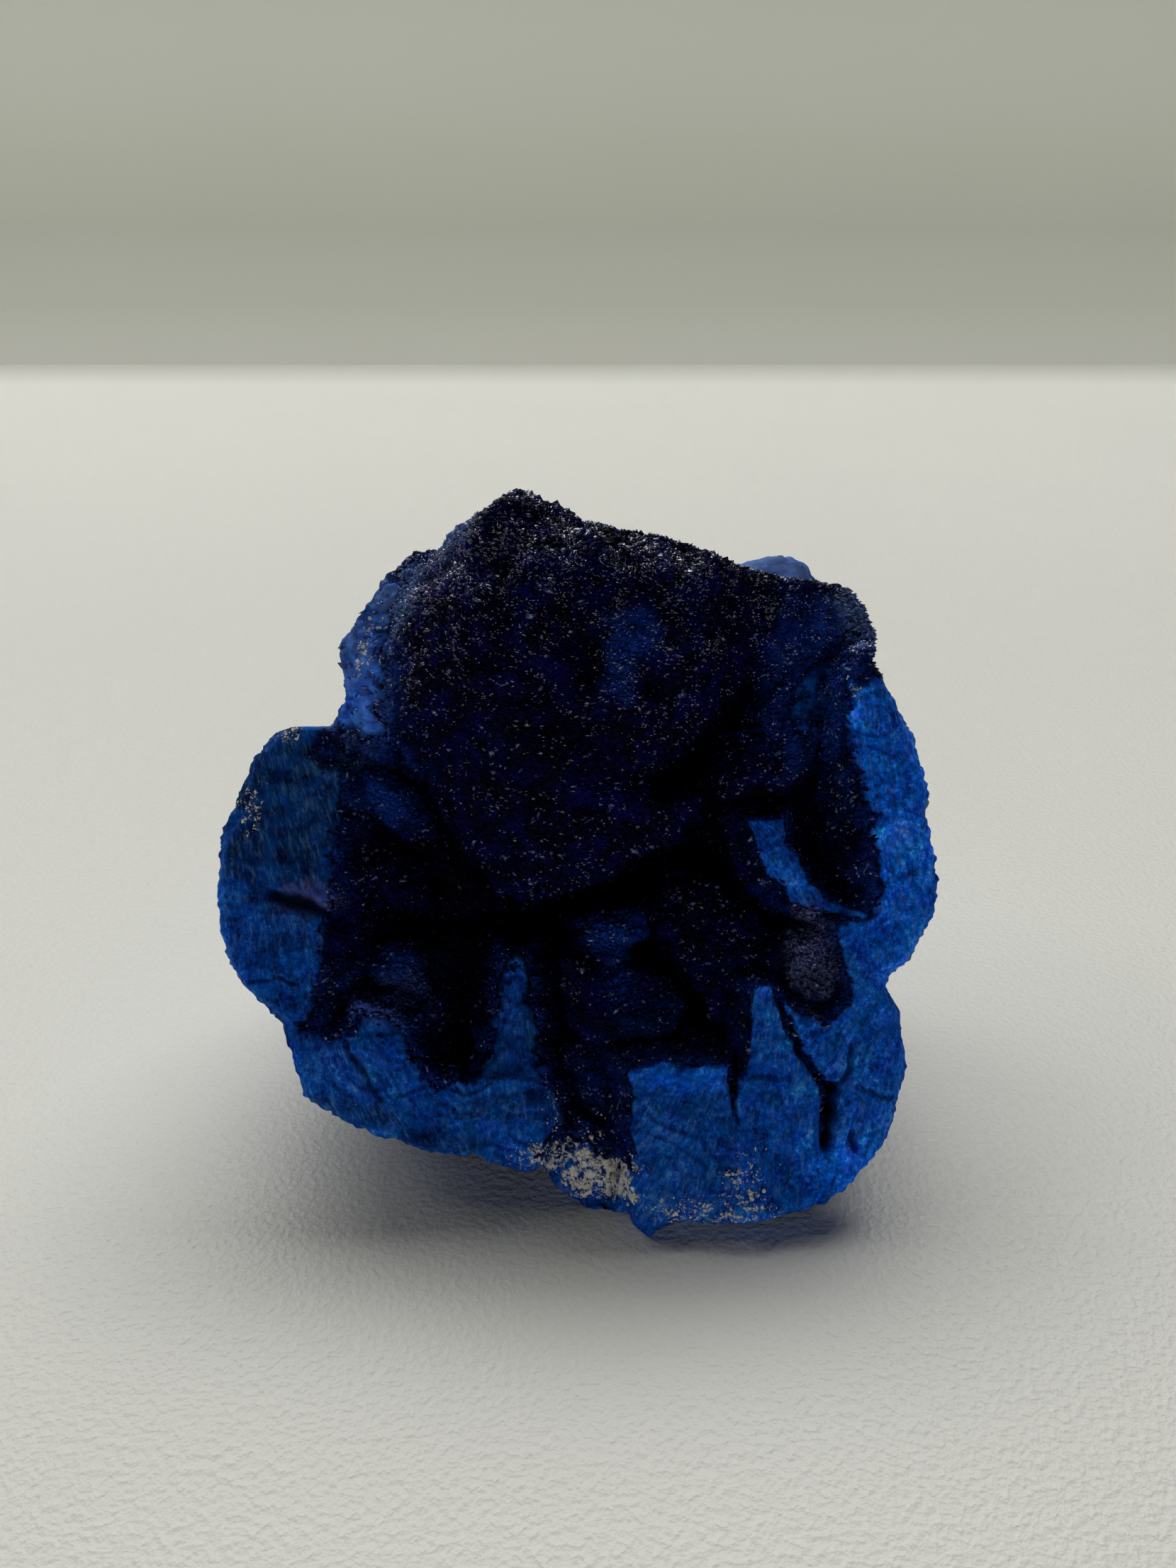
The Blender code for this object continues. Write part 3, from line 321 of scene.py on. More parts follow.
# Markings of the face by kind: middle (x, z), half width, half height and strength
MARKINGS = {
    "blue": [
        (-12.4, 10.8, 1.8, 5.2, 0.9), (3.4, 13.4, 1.7, 1.5, 0.75), (2.5, 11.6, 1.0, 2.4, 0.65),
        (2.1, -4.4, 2.1, 1.5, 0.9), (2.3, -6.6, 1.0, 1.8, 0.7), (14.2, 11.6, 2.8, 4.8, 0.62),
        (11.7, 9.0, 0.5, 2.6, 0.6), (12.9, 6.9, 0.5, 1.9, 0.6), (15.0, 8.4, 0.5, 2.6, 0.7),
        (-11.3, 4.4, 2.4, 2.4, 0.9), (5.8, -12.0, 3.0, 0.7, 0.8), (-10.9, -8.0, 3.2, 2.5, 1.0),
        (4.6, -9.2, 2.6, 2.6, 0.3), (1.2, -13.0, 1.8, 2.8, 0.35)],
    "violet": [
        (-8.9, 17.7, 2.3, 1.6, 0.4), (-15.9, -2.0, 2.1, 1.0, 0.9), (13.7, -5.4, 1.5, 3.0, 0.95),
        (-11.2, -8.2, 2.6, 1.5, 0.5)],
    "bloom": [
        (-13.0, 11.0, 1.8, 4.8, 0.45), (14.0, 21.2, 4.5, 3.4, 1.0), (-11.6, 17.0, 2.0, 3.2, 0.9),
        (-14.0, 13.0, 1.2, 3.2, 0.7), (-8.0, 20.6, 2.0, 1.5, 0.9), (17.2, 15.4, 1.6, 2.6, 0.75)],
    "clay": [
        (-13.1, 13.5, 0.9, 2.1, 0.6), (-6.5, 20.3, 0.6, 1.0, 0.35), (-19.4, 3.2, 0.9, 1.5, 0.5),
        (-17.2, 7.6, 0.8, 0.7, 0.6), (-13.7, 7.4, 0.5, 0.5, 0.8), (-1.5, -17.0, 2.3, 1.1, 0.85),
        (1.2, -18.3, 2.6, 1.8, 1.0), (0.2, -16.6, 2.6, 1.8, 0.5), (-1.0, -14.2, 1.2, 1.4, 0.35),
        (2.9, -17.4, 0.5, 2.2, 0.7), (9.6, -18.0, 1.3, 2.1, 0.6), (7.4, -19.7, 4.2, 1.0, 0.6),
        (16.3, 10.6, 0.5, 1.0, 0.45)],
    # dark and light make a plate darker or lighter in patches; the lighter top edge of the block at
    # (6.0, -12.3), which faces up to the light, is painted highlight
    "dark": [
        (-16.9, -3.9, 1.8, 1.6, 0.4), (-17.2, 3.2, 4.8, 6.6, 0.78), (-13.6, -14.5, 3.0, 1.1, 0.6),
        (-8.6, -16.2, 3.6, 0.9, 0.6), (19.2, 9.0, 2.4, 3.0, 0.3)],
    "light": [
        (-12.6, 10.5, 1.8, 4.5, 1.3), (14.4, 9.6, 2.2, 2.8, 0.8), (6.0, -12.3, 3.2, 0.9, 1.5),
        (-4.0, -15.2, 2.2, 1.6, 0.3), (-4.2, -7.0, 1.4, 2.6, 0.9), (15.6, -17.6, 3.0, 2.2, 0.9),
        (17.0, 1.0, 1.6, 4.6, 0.35)],
    "druse": [
        (-12.9, 13.8, 2.6, 5.6, 0.2), (-10.0, 19.0, 2.6, 2.6, 0.6), (-14.8, 6.9, 1.2, 1.8, 0.5),
        (16.8, 12.4, 1.8, 1.5, 1.0), (-14.6, -8.6, 1.6, 1.3, 0.35), (-3.6, -6.4, 1.2, 1.6, 0.2)],
}

# One crystal: its outline along its length and height, and how far its two faces bulge
BLADE_OUTLINE = [(-1.0, 0.15), (0.1, 1.0), (1.0, 0.1), (-0.1, -0.9)]
BLADE_FACES = [(k, (k + 1) % 4, 4) for k in range(4)] + [((k + 1) % 4, k, 5) for k in range(4)]
BLADE_CORNERS = 6

# The druse
CRYSTAL_DENSITY = 40.0     # crystals to each square mm
CRYSTAL_SPACING = 0.1      # mm between the places tried for a crystal
STEEPEST = 3.5             # the most that a slope adds to the crystals on it
DUST_AND_GLINT_SHARE = 0.11          # share of the crystals given pale specks: a dusty coating, and painted glints
UPPER_DOME = 10.6          # height that parts the dome's two patches
CRYSTAL_PATCHES = [        # piece, which patch, share of level crystals and random seed
    ("crystals_upper_dome", "upper_dome", 0.75, 62),
    ("crystals_lower_dome", "lower_dome", 0.6, 63),
    ("crystals_mounds", "mounds", 0.3, 64),
    ("crystals_hollow", "hollow", 0.2, 65),
]

# Lamps in m: name, place, target, size, power in W, colour and spread in degrees
LAMPS = [
    ("window_band", (0.0, 0.69, 0.915), (0.0, 0.0, 0.01), (1.6, 0.30), 13.6, "#FFFEFA", 180.0),
    ("side_window", (-0.56, 0.20, 0.46), (0.0, 0.0, 0.01), (0.3, 0.3), 0.8, "#FFFEFA", 180.0),
    ("room_fill", (0.0, -0.75, 0.13), (0.0, 0.0, 0.01), (0.8, 0.2), 1.1, "#FCFCFF", 180.0),
    ("wall_wash", (0.0, 0.30, 0.42), (0.0, 0.597, 0.02), (1.2, 0.05), 0.85, "#FFFEFA", 44.0),
]

# What nodes of the materials do: add a weighted pattern, multiply, lay a colour over another
SUM = {"operation": "MULTIPLY_ADD"}
TIMES = {"operation": "MULTIPLY"}
LAYER = {"data_type": "RGBA"}

# Stage and camera
WALL_GAP = 0.25            # m from the desk's far edge to the wall
CAMERA_LENS = 27.08        # mm, on a sensor 36 mm wide
CAMERA_SIDE = 0.00056      # m to the right of the middle of the broken face
CAMERA_RISE = 30.85        # degrees above the level of that middle
CAMERA_TILT = 63.0         # degrees, where 90 is level


def edge_distance(outline, x, z):
    """Distance of each point from a closed outline, negative inside it."""
    corners = np.array(outline)
    nearest = np.full(x.shape, np.inf)
    inside = np.zeros(x.shape, dtype=bool)
    for (ax, az), (bx, bz) in zip(corners, np.roll(corners, -1, axis=0)):
        dx = bx - ax
        dz = bz - az
        along = np.clip(((x - ax) * dx + (z - az) * dz) / (dx * dx + dz * dz), 0.0, 1.0)
        nearest = np.minimum(nearest, np.hypot(x - ax - along * dx, z - az - along * dz))
        if az != bz:
            crosses = ((az > z) != (bz > z)) & (x < ax + (z - az) * dx / dz)
            inside ^= crosses
    return np.where(inside, -nearest, nearest)


def path_distance(path, x, z):
    """Distance of each point from an open path."""
    nearest = np.full(x.shape, np.inf)
    for (ax, az), (bx, bz) in zip(path, path[1:]):
        dx = bx - ax
        dz = bz - az
        along = np.clip(((x - ax) * dx + (z - az) * dz) / (dx * dx + dz * dz), 0.0, 1.0)
        nearest = np.minimum(nearest, np.hypot(x - ax - along * dx, z - az - along * dz))
    return nearest


def plate_depth(plate, distance, x, z):
    """Depth of a flat broken plate and of the cliff around it."""
    (x0, z0), (tilt_x, tilt_z) = plate["at"], plate["tilt"]
    flat = plate["depth"] + tilt_x * (x - x0) + tilt_z * (z - z0)
    return flat + SKIRT_SLOPE * np.maximum(distance, 0.0)


def mound_depth(mound, x, z):
    """Depth of a rounded drusy mound and of the fold around it."""
    distance = edge_distance(mound["outline"], x, z)
    inward = np.clip(-distance / mound["rounding"], 0.0, 1.0)
    crown = mound["crown"] * np.sqrt(1.0 - (1.0 - inward) ** 2)
    return mound["depth"] - crown + FOLD_SLOPE * np.maximum(distance, 0.0)


def soft_minimum(a, b, blend):
    """The nearer of two depths, blended where they are within the blend of each other."""
    mix = np.clip(0.5 + 0.5 * (b - a) / blend, 0.0, 1.0)
    return b * (1.0 - mix) + a * mix - blend * mix * (1.0 - mix)


def lumps(points, scale, seed):
    """Smooth noise, about -1 to 1, at points in mm."""
    shift = Vector((seed, 2.0 * seed, 3.0 * seed))
    shape = points.shape[:-1]
    values = [noise.noise(Vector(point) / scale + shift) for point in points.reshape(-1, 3)]
    return np.array(values).reshape(shape)


def uneven(points, layers, total=0.0):
    """Layers of lumps on one another: each has its height, its size and its run."""
    for height, size, run in layers:
        total = total + height * lumps(points, size, run)
    return total


def smooth_step(value, low, high):
    """0 below low, 1 above high and a smooth rise between them."""
    share = np.clip((value - low) / (high - low), 0.0, 1.0)
    return share * share * (3.0 - 2.0 * share)


def blurred(values, reach):
    """Values of the grid, each the mean of those within a reach in mm."""
    steps = round(reach / GRID_STEP)
    for axis in (0, 1):
        ends = [(0, 0), (0, 0)]
        ends[axis] = (steps + 1, steps)
        sums = np.cumsum(np.pad(values, ends, mode="edge"), axis=axis)
        wide = 2 * steps + 1
        high = np.take(sums, range(wide, sums.shape[axis]), axis=axis)
        low = np.take(sums, range(sums.shape[axis] - wide), axis=axis)
        values = (high - low) / wide
    return values


class BrokenFace:
    """The broken face on a fine grid: its depth, its fine relief and its markings."""

    def __init__(self):
        steps = round(GRID_REACH / GRID_STEP)
        self.side = np.arange(-steps, steps + 1) * GRID_STEP
        x, z = np.meshgrid(self.side, self.side, indexing="ij")
        self.x, self.z, self.flat = x, z, np.stack([x, 0.0 * x, z], axis=-1)
        self.warped = (x + RAGGEDNESS * uneven(self.flat, WANDER_X),
                       z + RAGGEDNESS * uneven(self.flat, WANDER_Z))
        self.ragged = lumps(self.flat, 1.1, 21.0)
        self.layers = {}
        self.break_plates(self.lay_crust())
        self.cut_cracks()
        self.roughen()
        self.find_shade()
        self.layers["slope_x"], self.layers["slope_z"] = np.gradient(self.layers["depth"],
                                                                     GRID_STEP)
        self.layers["shine"] = np.clip(0.55 + 0.9 * uneven(self.flat, GLINT_CLUSTERS), 0.12, 1.4)
        self.lay_markings()

    def line_along(self, path, half_width):
        """1 on a path, fading to 0 past its half width."""
        return np.exp(-(path_distance(path, *self.warped) / half_width) ** 2)

    def lay_crust(self):
        """Depth of the drusy crust: its mounds, the folds between them and low lumps."""
        crust = np.full(self.x.shape, HOLLOW_FLOOR)
        for mound in MOUNDS.values():
            crust = soft_minimum(crust, mound_depth(mound, *self.warped), MOUND_BLEND)
        for path, half_width, fold_depth in FOLDS.values():
            crust = crust + fold_depth * self.line_along(path, half_width)
        lumpy = np.stack([self.x, self.z, crust * CRUST_LUMP_DEPTH], axis=-1)
        return crust + CRUST_LUMP * lumps(lumpy, 1.9, 5.0)

    def break_plates(self, depth):
        """Bare plates that stand through the crust, with their look and the crust's edge."""
        x, z = self.x, self.z
        swell = lumps(np.stack([x, z, 0.0 * x], axis=-1), 5.0, 7.0)
        nearest = np.full(x.shape, np.inf)
        cover = np.ones(x.shape)
        tone = np.ones(x.shape)
        along, across = z, x
        for plate in PLATES.values():
            distance = edge_distance(plate["outline"], *self.warped)
            level = plate_depth(plate, distance, x, z) + PLATE_SWELL * swell
            wins = (level < depth) & (distance < PLATE_REACH)
            depth = np.minimum(depth, level)
            nearest = np.minimum(nearest, distance)
            feather = plate["feather"]
            inside = distance + 0.5 * feather * self.ragged
            cover = np.minimum(cover, smooth_step(inside, -feather, 0.15))
            tone = np.where(wins, plate["tone"], tone)
            (at_x, at_z), (fibre_x, fibre_z) = plate["at"], plate["fibres"]
            along = np.where(wins, np.hypot(x - fibre_x, z - fibre_z), along)
            reach = math.hypot(at_x - fibre_x, at_z - fibre_z)
            across = np.where(wins, np.arctan2(z - fibre_z, x - fibre_x) * reach, across)
        reached = edge_distance(CRUST_REACH, x, z) + 0.5 * self.ragged
        cover = cover * smooth_step(-reached, -0.4, 0.8)
        self.layers.update(depth=depth, outside=nearest, cover=cover, tone=tone, along=along,
                           across=across)

    def cut_cracks(self):
        """Cracks cut into the plates, marked where they run."""
        crack = np.zeros(self.x.shape)
        for path, half_width, crack_depth in CRACKS.values():
            line = self.line_along(path, half_width)
            self.layers["depth"] = self.layers["depth"] + crack_depth * line
            crack = np.maximum(crack, line)
        self.layers["crack"] = crack

    def roughen(self):
        """Fine relief: stepped breaks, grains and fibres on plates, rough druse elsewhere."""
        x, flat, layers = self.x, self.flat, self.layers
        fibre = np.stack([layers["across"] / FIBRE_WIDTH, layers["along"] / FIBRE_LENGTH,
                          0.0 * x], axis=-1)
        terrace = 3.0 * lumps(flat, TERRACE_WIDTH, 11.0)
        saw = terrace - np.floor(terrace)
        step = np.where(saw < TERRACE_TREAD, saw / TERRACE_TREAD,
                        (1.0 - saw) / (1.0 - TERRACE_TREAD))
        relief = uneven(flat, PLATE_GRAIN, TERRACE_HEIGHT * (step - 0.5))
        relief += FIBRE_HEIGHT * lumps(fibre, 1.0, 14.0)
        bare = smooth_step(-layers["outside"], -0.1, 0.5)
        layers["relief"] = relief * bare + uneven(flat, CRUST_ROUGHNESS) * (1.0 - bare)

    def find_shade(self):
        """Shade where the face folds in or lies deep, apart from its outer edge."""
        depth = self.layers["depth"]
        fold = smooth_step(depth - blurred(depth, 2.0), 0.1, 1.3)
        deep = smooth_step(depth, 4.3, 7.0)
        radius, _ = rim_at(np.arctan2(self.z, self.x))
        within = smooth_step(radius - np.hypot(self.x, self.z), 0.6, 2.2)
        self.layers["shade"] = np.clip(0.95 * fold + 0.95 * deep, 0.0, 1.0) * within

    def lay_markings(self):
        """The markings of each kind, and what they change in the other layers."""
        layers = self.layers
        mottle = lumps(self.flat, 0.7, 22.0)
        for kind, spots in MARKINGS.items():
            amount = np.zeros(self.x.shape)
            for middle_x, middle_z, half_x, half_z, strength in spots:
                off = np.hypot((self.x - middle_x) / half_x, (self.z - middle_z) / half_z)
                spot = smooth_step(off + 0.35 * self.ragged + 0.15 * mottle, 1.25, 0.55)
                amount = np.maximum(amount, strength * spot)
            layers[kind] = amount
        near_plates = np.exp(-np.maximum(layers["outside"], 0.0) / 0.7)
        fringe = near_plates * smooth_step(self.ragged, -0.5, 0.6)
        layers["blue"] = np.maximum(layers["blue"], 0.6 * fringe)
        layers["cover"] = np.maximum(layers["cover"], layers["druse"])
        layers["tone"] *= 1.0 - layers["dark"]
        layers["tone"] *= 1.0 + layers["light"]

    def read(self, name, x, z):
        """A layer's value at each point, between the points of the grid."""
        layer = self.layers[name]
        last = len(self.side) - 1.001
        i = np.clip((x - self.side[0]) / GRID_STEP, 0.0, last)
        j = np.clip((z - self.side[0]) / GRID_STEP, 0.0, last)
        low_i = i.astype(int)
        low_j = j.astype(int)
        i = i - low_i
        j = j - low_j
        near = layer[low_i, low_j] * (1.0 - i) + layer[low_i + 1, low_j] * i
        far = layer[low_i, low_j + 1] * (1.0 - i) + layer[low_i + 1, low_j + 1] * i
        return near * (1.0 - j) + far * j


_shared = {}


def shared(name, make, *values):
    """Make a thing once, and share it from then on."""
    if name not in _shared:
        _shared[name] = make(*values)
    return _shared[name]


def broken_face():
    """The face is worked out once and shared by every piece."""
    return shared("face", BrokenFace)


def rim_at(angle):
    """Radius and edge depth of the rim in each direction of the face."""
    x, z, edge_depth = np.array(RIM).T
    rim_angle = np.arctan2(z, x)
    order = np.argsort(rim_angle)
    radius = np.interp(angle, rim_angle[order], np.hypot(x, z)[order], period=2.0 * math.pi)
    return radius, np.interp(angle, rim_angle[order], edge_depth[order], period=2.0 * math.pi)


def girth_at(angle):
    """Radius of the nodule behind its rim: the rim's with its notches rounded out."""
    around = np.radians(np.arange(0.0, 360.0, 6.0))
    radius, _ = rim_at(around)
    rounded = sum(np.roll(radius, step) for step in range(-4, 5)) / 9.0
    return np.interp(angle, around, rounded, period=2.0 * math.pi)


def face_depth(x, z):
    """Depth of the broken face, rounded off at its rim, and how far inside the rim it is."""
    face = broken_face()
    radius, edge_depth = rim_at(np.arctan2(z, x))
    inward = radius - np.hypot(x, z)
    edge = np.clip(1.0 - inward / RIM_ROUNDING, 0.0, 1.0) ** 2
    depth = face.read("depth", x, z) + face.read("relief", x, z)
    return depth * (1.0 - edge) + edge_depth * edge, inward


def lean(points, degrees=LEAN_DEGREES):
    """Broken-face frame to the standing frame: the face leans back about the x axis."""
    x, y, z = points.T
    c = math.cos(math.radians(degrees))
    s = math.sin(math.radians(degrees))
    return np.stack([x, y * c + z * s, z * c - y * s], axis=-1)


def settle(points, behind):
    """Squeeze what hangs below the resting plane, and end the stone flat on that plane."""
    height = points[:, 2]
    hang = np.maximum(SETTLE_CLEARANCE - (height - GROUND_LEVEL), 0.0)
    squeezed = hang / (1.0 + hang / (SETTLE_CLEARANCE + SETTLE_DEPTH))
    share = np.clip(behind / SETTLE_FADE, 0.0, 1.0)
    settled = points.copy()
    settled[:, 2] = np.maximum(height + share * (hang - squeezed), GROUND_LEVEL)
    return settled


def place_in_room(points):
    """Points of the standing frame in mm, put where the stone rests, in metres."""
    placed = (points + np.array(FACE_CENTRE)) * 0.001
    placed[:, 2] = np.maximum(placed[:, 2], 0.0)
    return placed


def nodule_points(directions):
    """Places of a unit sphere's points on the nodule: its front is the broken face."""
    face = broken_face()
    dx, dy, dz = directions.T
    angle = np.arctan2(dz, dx)
    radius, edge_depth = rim_at(angle)
    share = (1.0 + dy) / 2.0
    inward = np.sqrt(np.clip(share / FACE_SHARE, 0.0, 1.0))
    x = inward * radius * np.cos(angle)
    z = inward * radius * np.sin(angle)
    hidden = smooth_step(face.read("outside", x, z), 0.3, 0.9)
    y, _ = face_depth(x, z)
    y = y + (0.25 + 0.3 * hidden) * face.read("cover", x, z) * smooth_step(inward, 1.0, 0.96)

    backward = np.arcsin(np.clip((share - FACE_SHARE) / (1.0 - FACE_SHARE), 0.0, 1.0))
    behind = backward > 0.0
    back_y = edge_depth + (NODULE_DEPTH - edge_depth) * np.sin(backward)
    flare = radius * (1.0 + SKIN_FLARE * (back_y - edge_depth))
    girth = np.minimum(girth_at(angle), flare) * np.cos(backward) ** 0.8
    x = np.where(behind, girth * np.cos(angle), x)
    z = np.where(behind, girth * np.sin(angle) + BACK_RISE * np.sin(backward) ** 2, z)
    y = np.where(behind, back_y, y)
    points = np.stack([x, y, z], axis=-1)

    outward = points - np.array(MIDDLE)
    outward /= np.linalg.norm(outward, axis=1)[:, None]
    lift = uneven(points, SKIN_LUMPS)
    for direction, spread, height in LOBES:
        toward = np.array(direction) / np.linalg.norm(direction)
        off = np.degrees(np.arccos(np.clip(outward @ toward, -1.0, 1.0)))
        lift += height * np.exp(-(off / spread) ** 2)
    fade = np.sin(np.clip(backward * SKIN_FADE, 0.0, math.pi / 2.0))
    lift = lift * fade + uneven(points, SKIN_PITS) * np.clip(backward * 3.0, 0.0, 1.0)
    crumble = CRUMBLE * uneven(points, EDGE_CRUMBS) * smooth_step(inward, 0.93, 1.0)
    return points + outward * (lift + crumble)[:, None]


def mesh_of(name, points, faces):
    """A mesh from points in metres and faces that all have the same number of corners."""
    mesh = bpy.data.meshes.new(name)
    corners = faces.shape[1]
    mesh.vertices.add(len(points))
    mesh.vertices.foreach_set("co", points.astype(np.float32).ravel())
    mesh.loops.add(faces.size)
    mesh.loops.foreach_set("vertex_index", faces.astype(np.int32).ravel())
    mesh.polygons.add(len(faces))
    mesh.polygons.foreach_set("loop_start", np.arange(len(faces), dtype=np.int32) * corners)
    mesh.update(calc_edges=True)
    mesh.validate()
    return mesh


def places_of(mesh):
    """The mesh's points as an array."""
    points = np.empty(len(mesh.vertices) * 3, dtype=np.float32)
    mesh.vertices.foreach_get("co", points)
    return points.reshape(-1, 3).astype(float)


def mark(mesh, name, values):
    """Keep a number or a vector for each vertex, for the materials to read."""
    kind, field = ("FLOAT", "value") if values.ndim == 1 else ("FLOAT_VECTOR", "vector")
    attribute = mesh.attributes.new(name, kind, "POINT")
    attribute.data.foreach_set(field, values.astype(np.float32).ravel())


def put_in_scene(name, data):
    """A new object in the scene, from its mesh, lamp or camera."""
    thing = bpy.data.objects.new(name, data)
    bpy.context.scene.collection.objects.link(thing)
    return thing


def finish_piece(name, mesh, materials, stands_for):
    """Put a finished mesh in the scene as a piece of the specimen."""
    for material in materials:
        mesh.materials.append(material)
    piece = put_in_scene(name, mesh)
    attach(piece, BODY)
    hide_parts(stands_for)
    return piece


def linear(hex_colour):
    """An sRGB hex colour as linear red, green, blue and alpha."""
    channels = [int(hex_colour[i:i + 2], 16) / 255.0 for i in (1, 3, 5)]
    light = [c / 12.92 if c <= 0.04045 else ((c + 0.055) / 1.055) ** 2.4 for c in channels]
    return (*light, 1.0)


def add_node(tree, kind, inputs=(), settings=None, output=0):
    """Add a node with its settings and its inputs, in order or by name, and give its output.

    An input is a link, a number, a vector, a hex colour or a colour setting. A noise takes its
    vector in mm, W, which stays unused, its scale, which is one over the size of its lumps in
    mm, its detail and its roughness."""
    node = tree.nodes.new("ShaderNode" + kind)
    for key, value in (settings or {}).items():
        if key == "ramp":
            while len(node.color_ramp.elements) < len(value):
                node.color_ramp.elements.new(0.5)
            for element, (position, colour) in zip(node.color_ramp.elements, value):
                element.position = position
                element.color = linear(colour) if isinstance(colour, str) else (*colour, 1.0)
        else:
            setattr(node, key, value)
    for key, value in inputs.items() if isinstance(inputs, dict) else enumerate(inputs):
        if isinstance(value, bpy.types.NodeSocket):
            tree.links.new(value, node.inputs[key])
        elif isinstance(value, str):
            node.inputs[key].default_value = linear(value)
        elif isinstance(value, Color):
            node.inputs[key].default_value = (*value, 1.0)
        else:
            node.inputs[key].default_value = value
    return node.outputs[output]


def new_material(name):
    """A material, a function that adds nodes to it, and its points in mm."""
    material = bpy.data.materials.new(name)
    material.use_nodes = True
    add = functools.partial(add_node, material.node_tree)
    in_mm = add("VectorMath", {0: add("TexCoord", output="Object"), "Scale": 1000.0},
                {"operation": "SCALE"})
    return material, add, in_mm


def finish_surface(material, add, colour, roughness, ior=None, gloss=None, relief=None):
    """Wire a surface's colour, roughness and relief (pattern, strength, depth in m)."""
    shader = material.node_tree.nodes["Principled BSDF"]
    link = material.node_tree.links.new
    link(colour, shader.inputs["Base Color"])
    if isinstance(roughness, float):
        shader.inputs["Roughness"].default_value = roughness
    else:
        link(roughness, shader.inputs["Roughness"])
    if ior:
        shader.inputs["IOR"].default_value = ior
        shader.inputs["Specular IOR Level"].default_value = gloss
    if relief:
        pattern, strength, depth = relief
        bump = add("Bump", {"Strength": strength, "Distance": depth, "Height": pattern})
        link(bump, shader.inputs["Normal"])
    return material


def clay_over(add, colour, in_mm, clay):
    """Pale clay lying in grains over a colour, thickest where it is marked."""
    crumbs = add("TexNoise", (in_mm, 0.0, 1.0 / 0.34, 4.0, 0.7))
    tint = add("TexNoise", (in_mm, 0.0, 1.0 / 0.5, 3.0, 0.55))
    amount = add("Attribute", (), {"attribute_name": "clay"}, "Fac")
    shown = add("MapRange", (add("Math", (amount, 0.26, crumbs), SUM), 0.70, 0.78))
    tinted = add("Mix", {0: tint, 6: clay, 7: "#E4DFCF"}, LAYER, 2)
    return add("Mix", {0: shown, 6: colour, 7: tinted}, LAYER, 2), shown


def broken_azurite(colours):
    """Azurite, massive, freshly broken: matt fibrous grain in strong blue, with bright flecks."""
    material, add, in_mm = new_material("azurite broken fibrous")
    fibre = add("Attribute", (), {"attribute_name": "fibre"}, "Vector")
    tone = add("Attribute", (), {"attribute_name": "tone"}, "Color")
    cover, crack, shade, blue, violet, bloom = (
        add("Attribute", (), {"attribute_name": name}, "Fac")
        for name in ("cover", "crack", "shade", "blue", "violet", "bloom"))
    streaks = add("TexNoise", (fibre, 0.0, 1.0, 5.0, 0.7))
    grains = add("TexNoise", (in_mm, 0.0, 1.0 / 0.3, 4.0, 0.8))
    clouds = add("TexNoise", (in_mm, 0.0, 1.0 / 3.0, 4.0, 0.6))
    pattern = 0.0
    for part, weight in ((streaks, 0.28), (grains, 0.54), (clouds, 0.26)):
        pattern = add("Math", (part, weight, pattern), SUM)
    colour = add("ValToRGB", (pattern,), {"ramp": [
        (0.43, colours.vein), (0.53, colours.broken), (0.60, colours.bright),
        (0.68, colours.fleck)]})

    # A cast that turns from violet to green over the stone, and each plate's tone, made darker and
    # lighter in patches by the dark and light marks, a painted highlight among them
    casts = add("MapRange", (add("TexNoise", (in_mm, 0.0, 1.0 / 1.3, 4.0, 0.6)), 0.36, 0.64))
    cast = add("Mix", {0: casts, 6: colours.hue_violet, 7: colours.hue_green}, LAYER, 2)
    for factor in (cast, tone):
        colour = add("Mix", {0: 1.0, 6: colour, 7: factor}, {**LAYER, "blend_type": "MULTIPLY"}, 2)

    # Pale strands finer and longer than the streaks
    strand = add("VectorMath", (fibre, (1.8, 1.8, 2.4)), TIMES)
    strands = add("Math", (clouds, 0.3, add("TexNoise", (strand, 0.0, 1.0, 3.0, 0.75))), SUM)
    dusty = add("MapRange", (grains, 0.42, 0.62, 0.3, 0.9))
    cloudy = add("MapRange", (clouds, 0.4, 0.6, 0.4))
    ground = add("MapRange", (add("Math", (grains, 0.5, cover), SUM), 0.42, 0.85))
    # Layers over the grain; the last two are painted shade: the dark druse colour in the cracks,
    # and near-black where the face folds in or lies deep
    for share, over in (
            (add("Math", (blue, 0.35), TIMES), colours.bright),
            (add("MapRange", (strands, 0.66, 0.84, 0.0, 0.2)), colours.fleck),
            (add("Math", (violet, dusty), TIMES), colours.violet),
            (add("Math", (bloom, cloudy), TIMES), colours.bloom),
            (ground, colours.druse),
            (add("Math", (crack, 0.8), TIMES), colours.druse),
            (add("Math", (shade, 0.9), TIMES), colours.depths)):
        colour = add("Mix", {0: share, 6: colour, 7: over}, LAYER, 2)
    colour, clay = clay_over(add, colour, in_mm, colours.clay)
    relief = 0.0
    for part, weight in ((streaks, 0.6), (grains, 0.6), (clay, 0.3)):
        relief = add("Math", (part, weight, relief), SUM)
    return finish_surface(material, add, colour, add("MapRange", (grains, 0.3, 0.7, 0.92, 0.68)),
                          1.6, 0.04, (relief, 0.7, 0.00014))


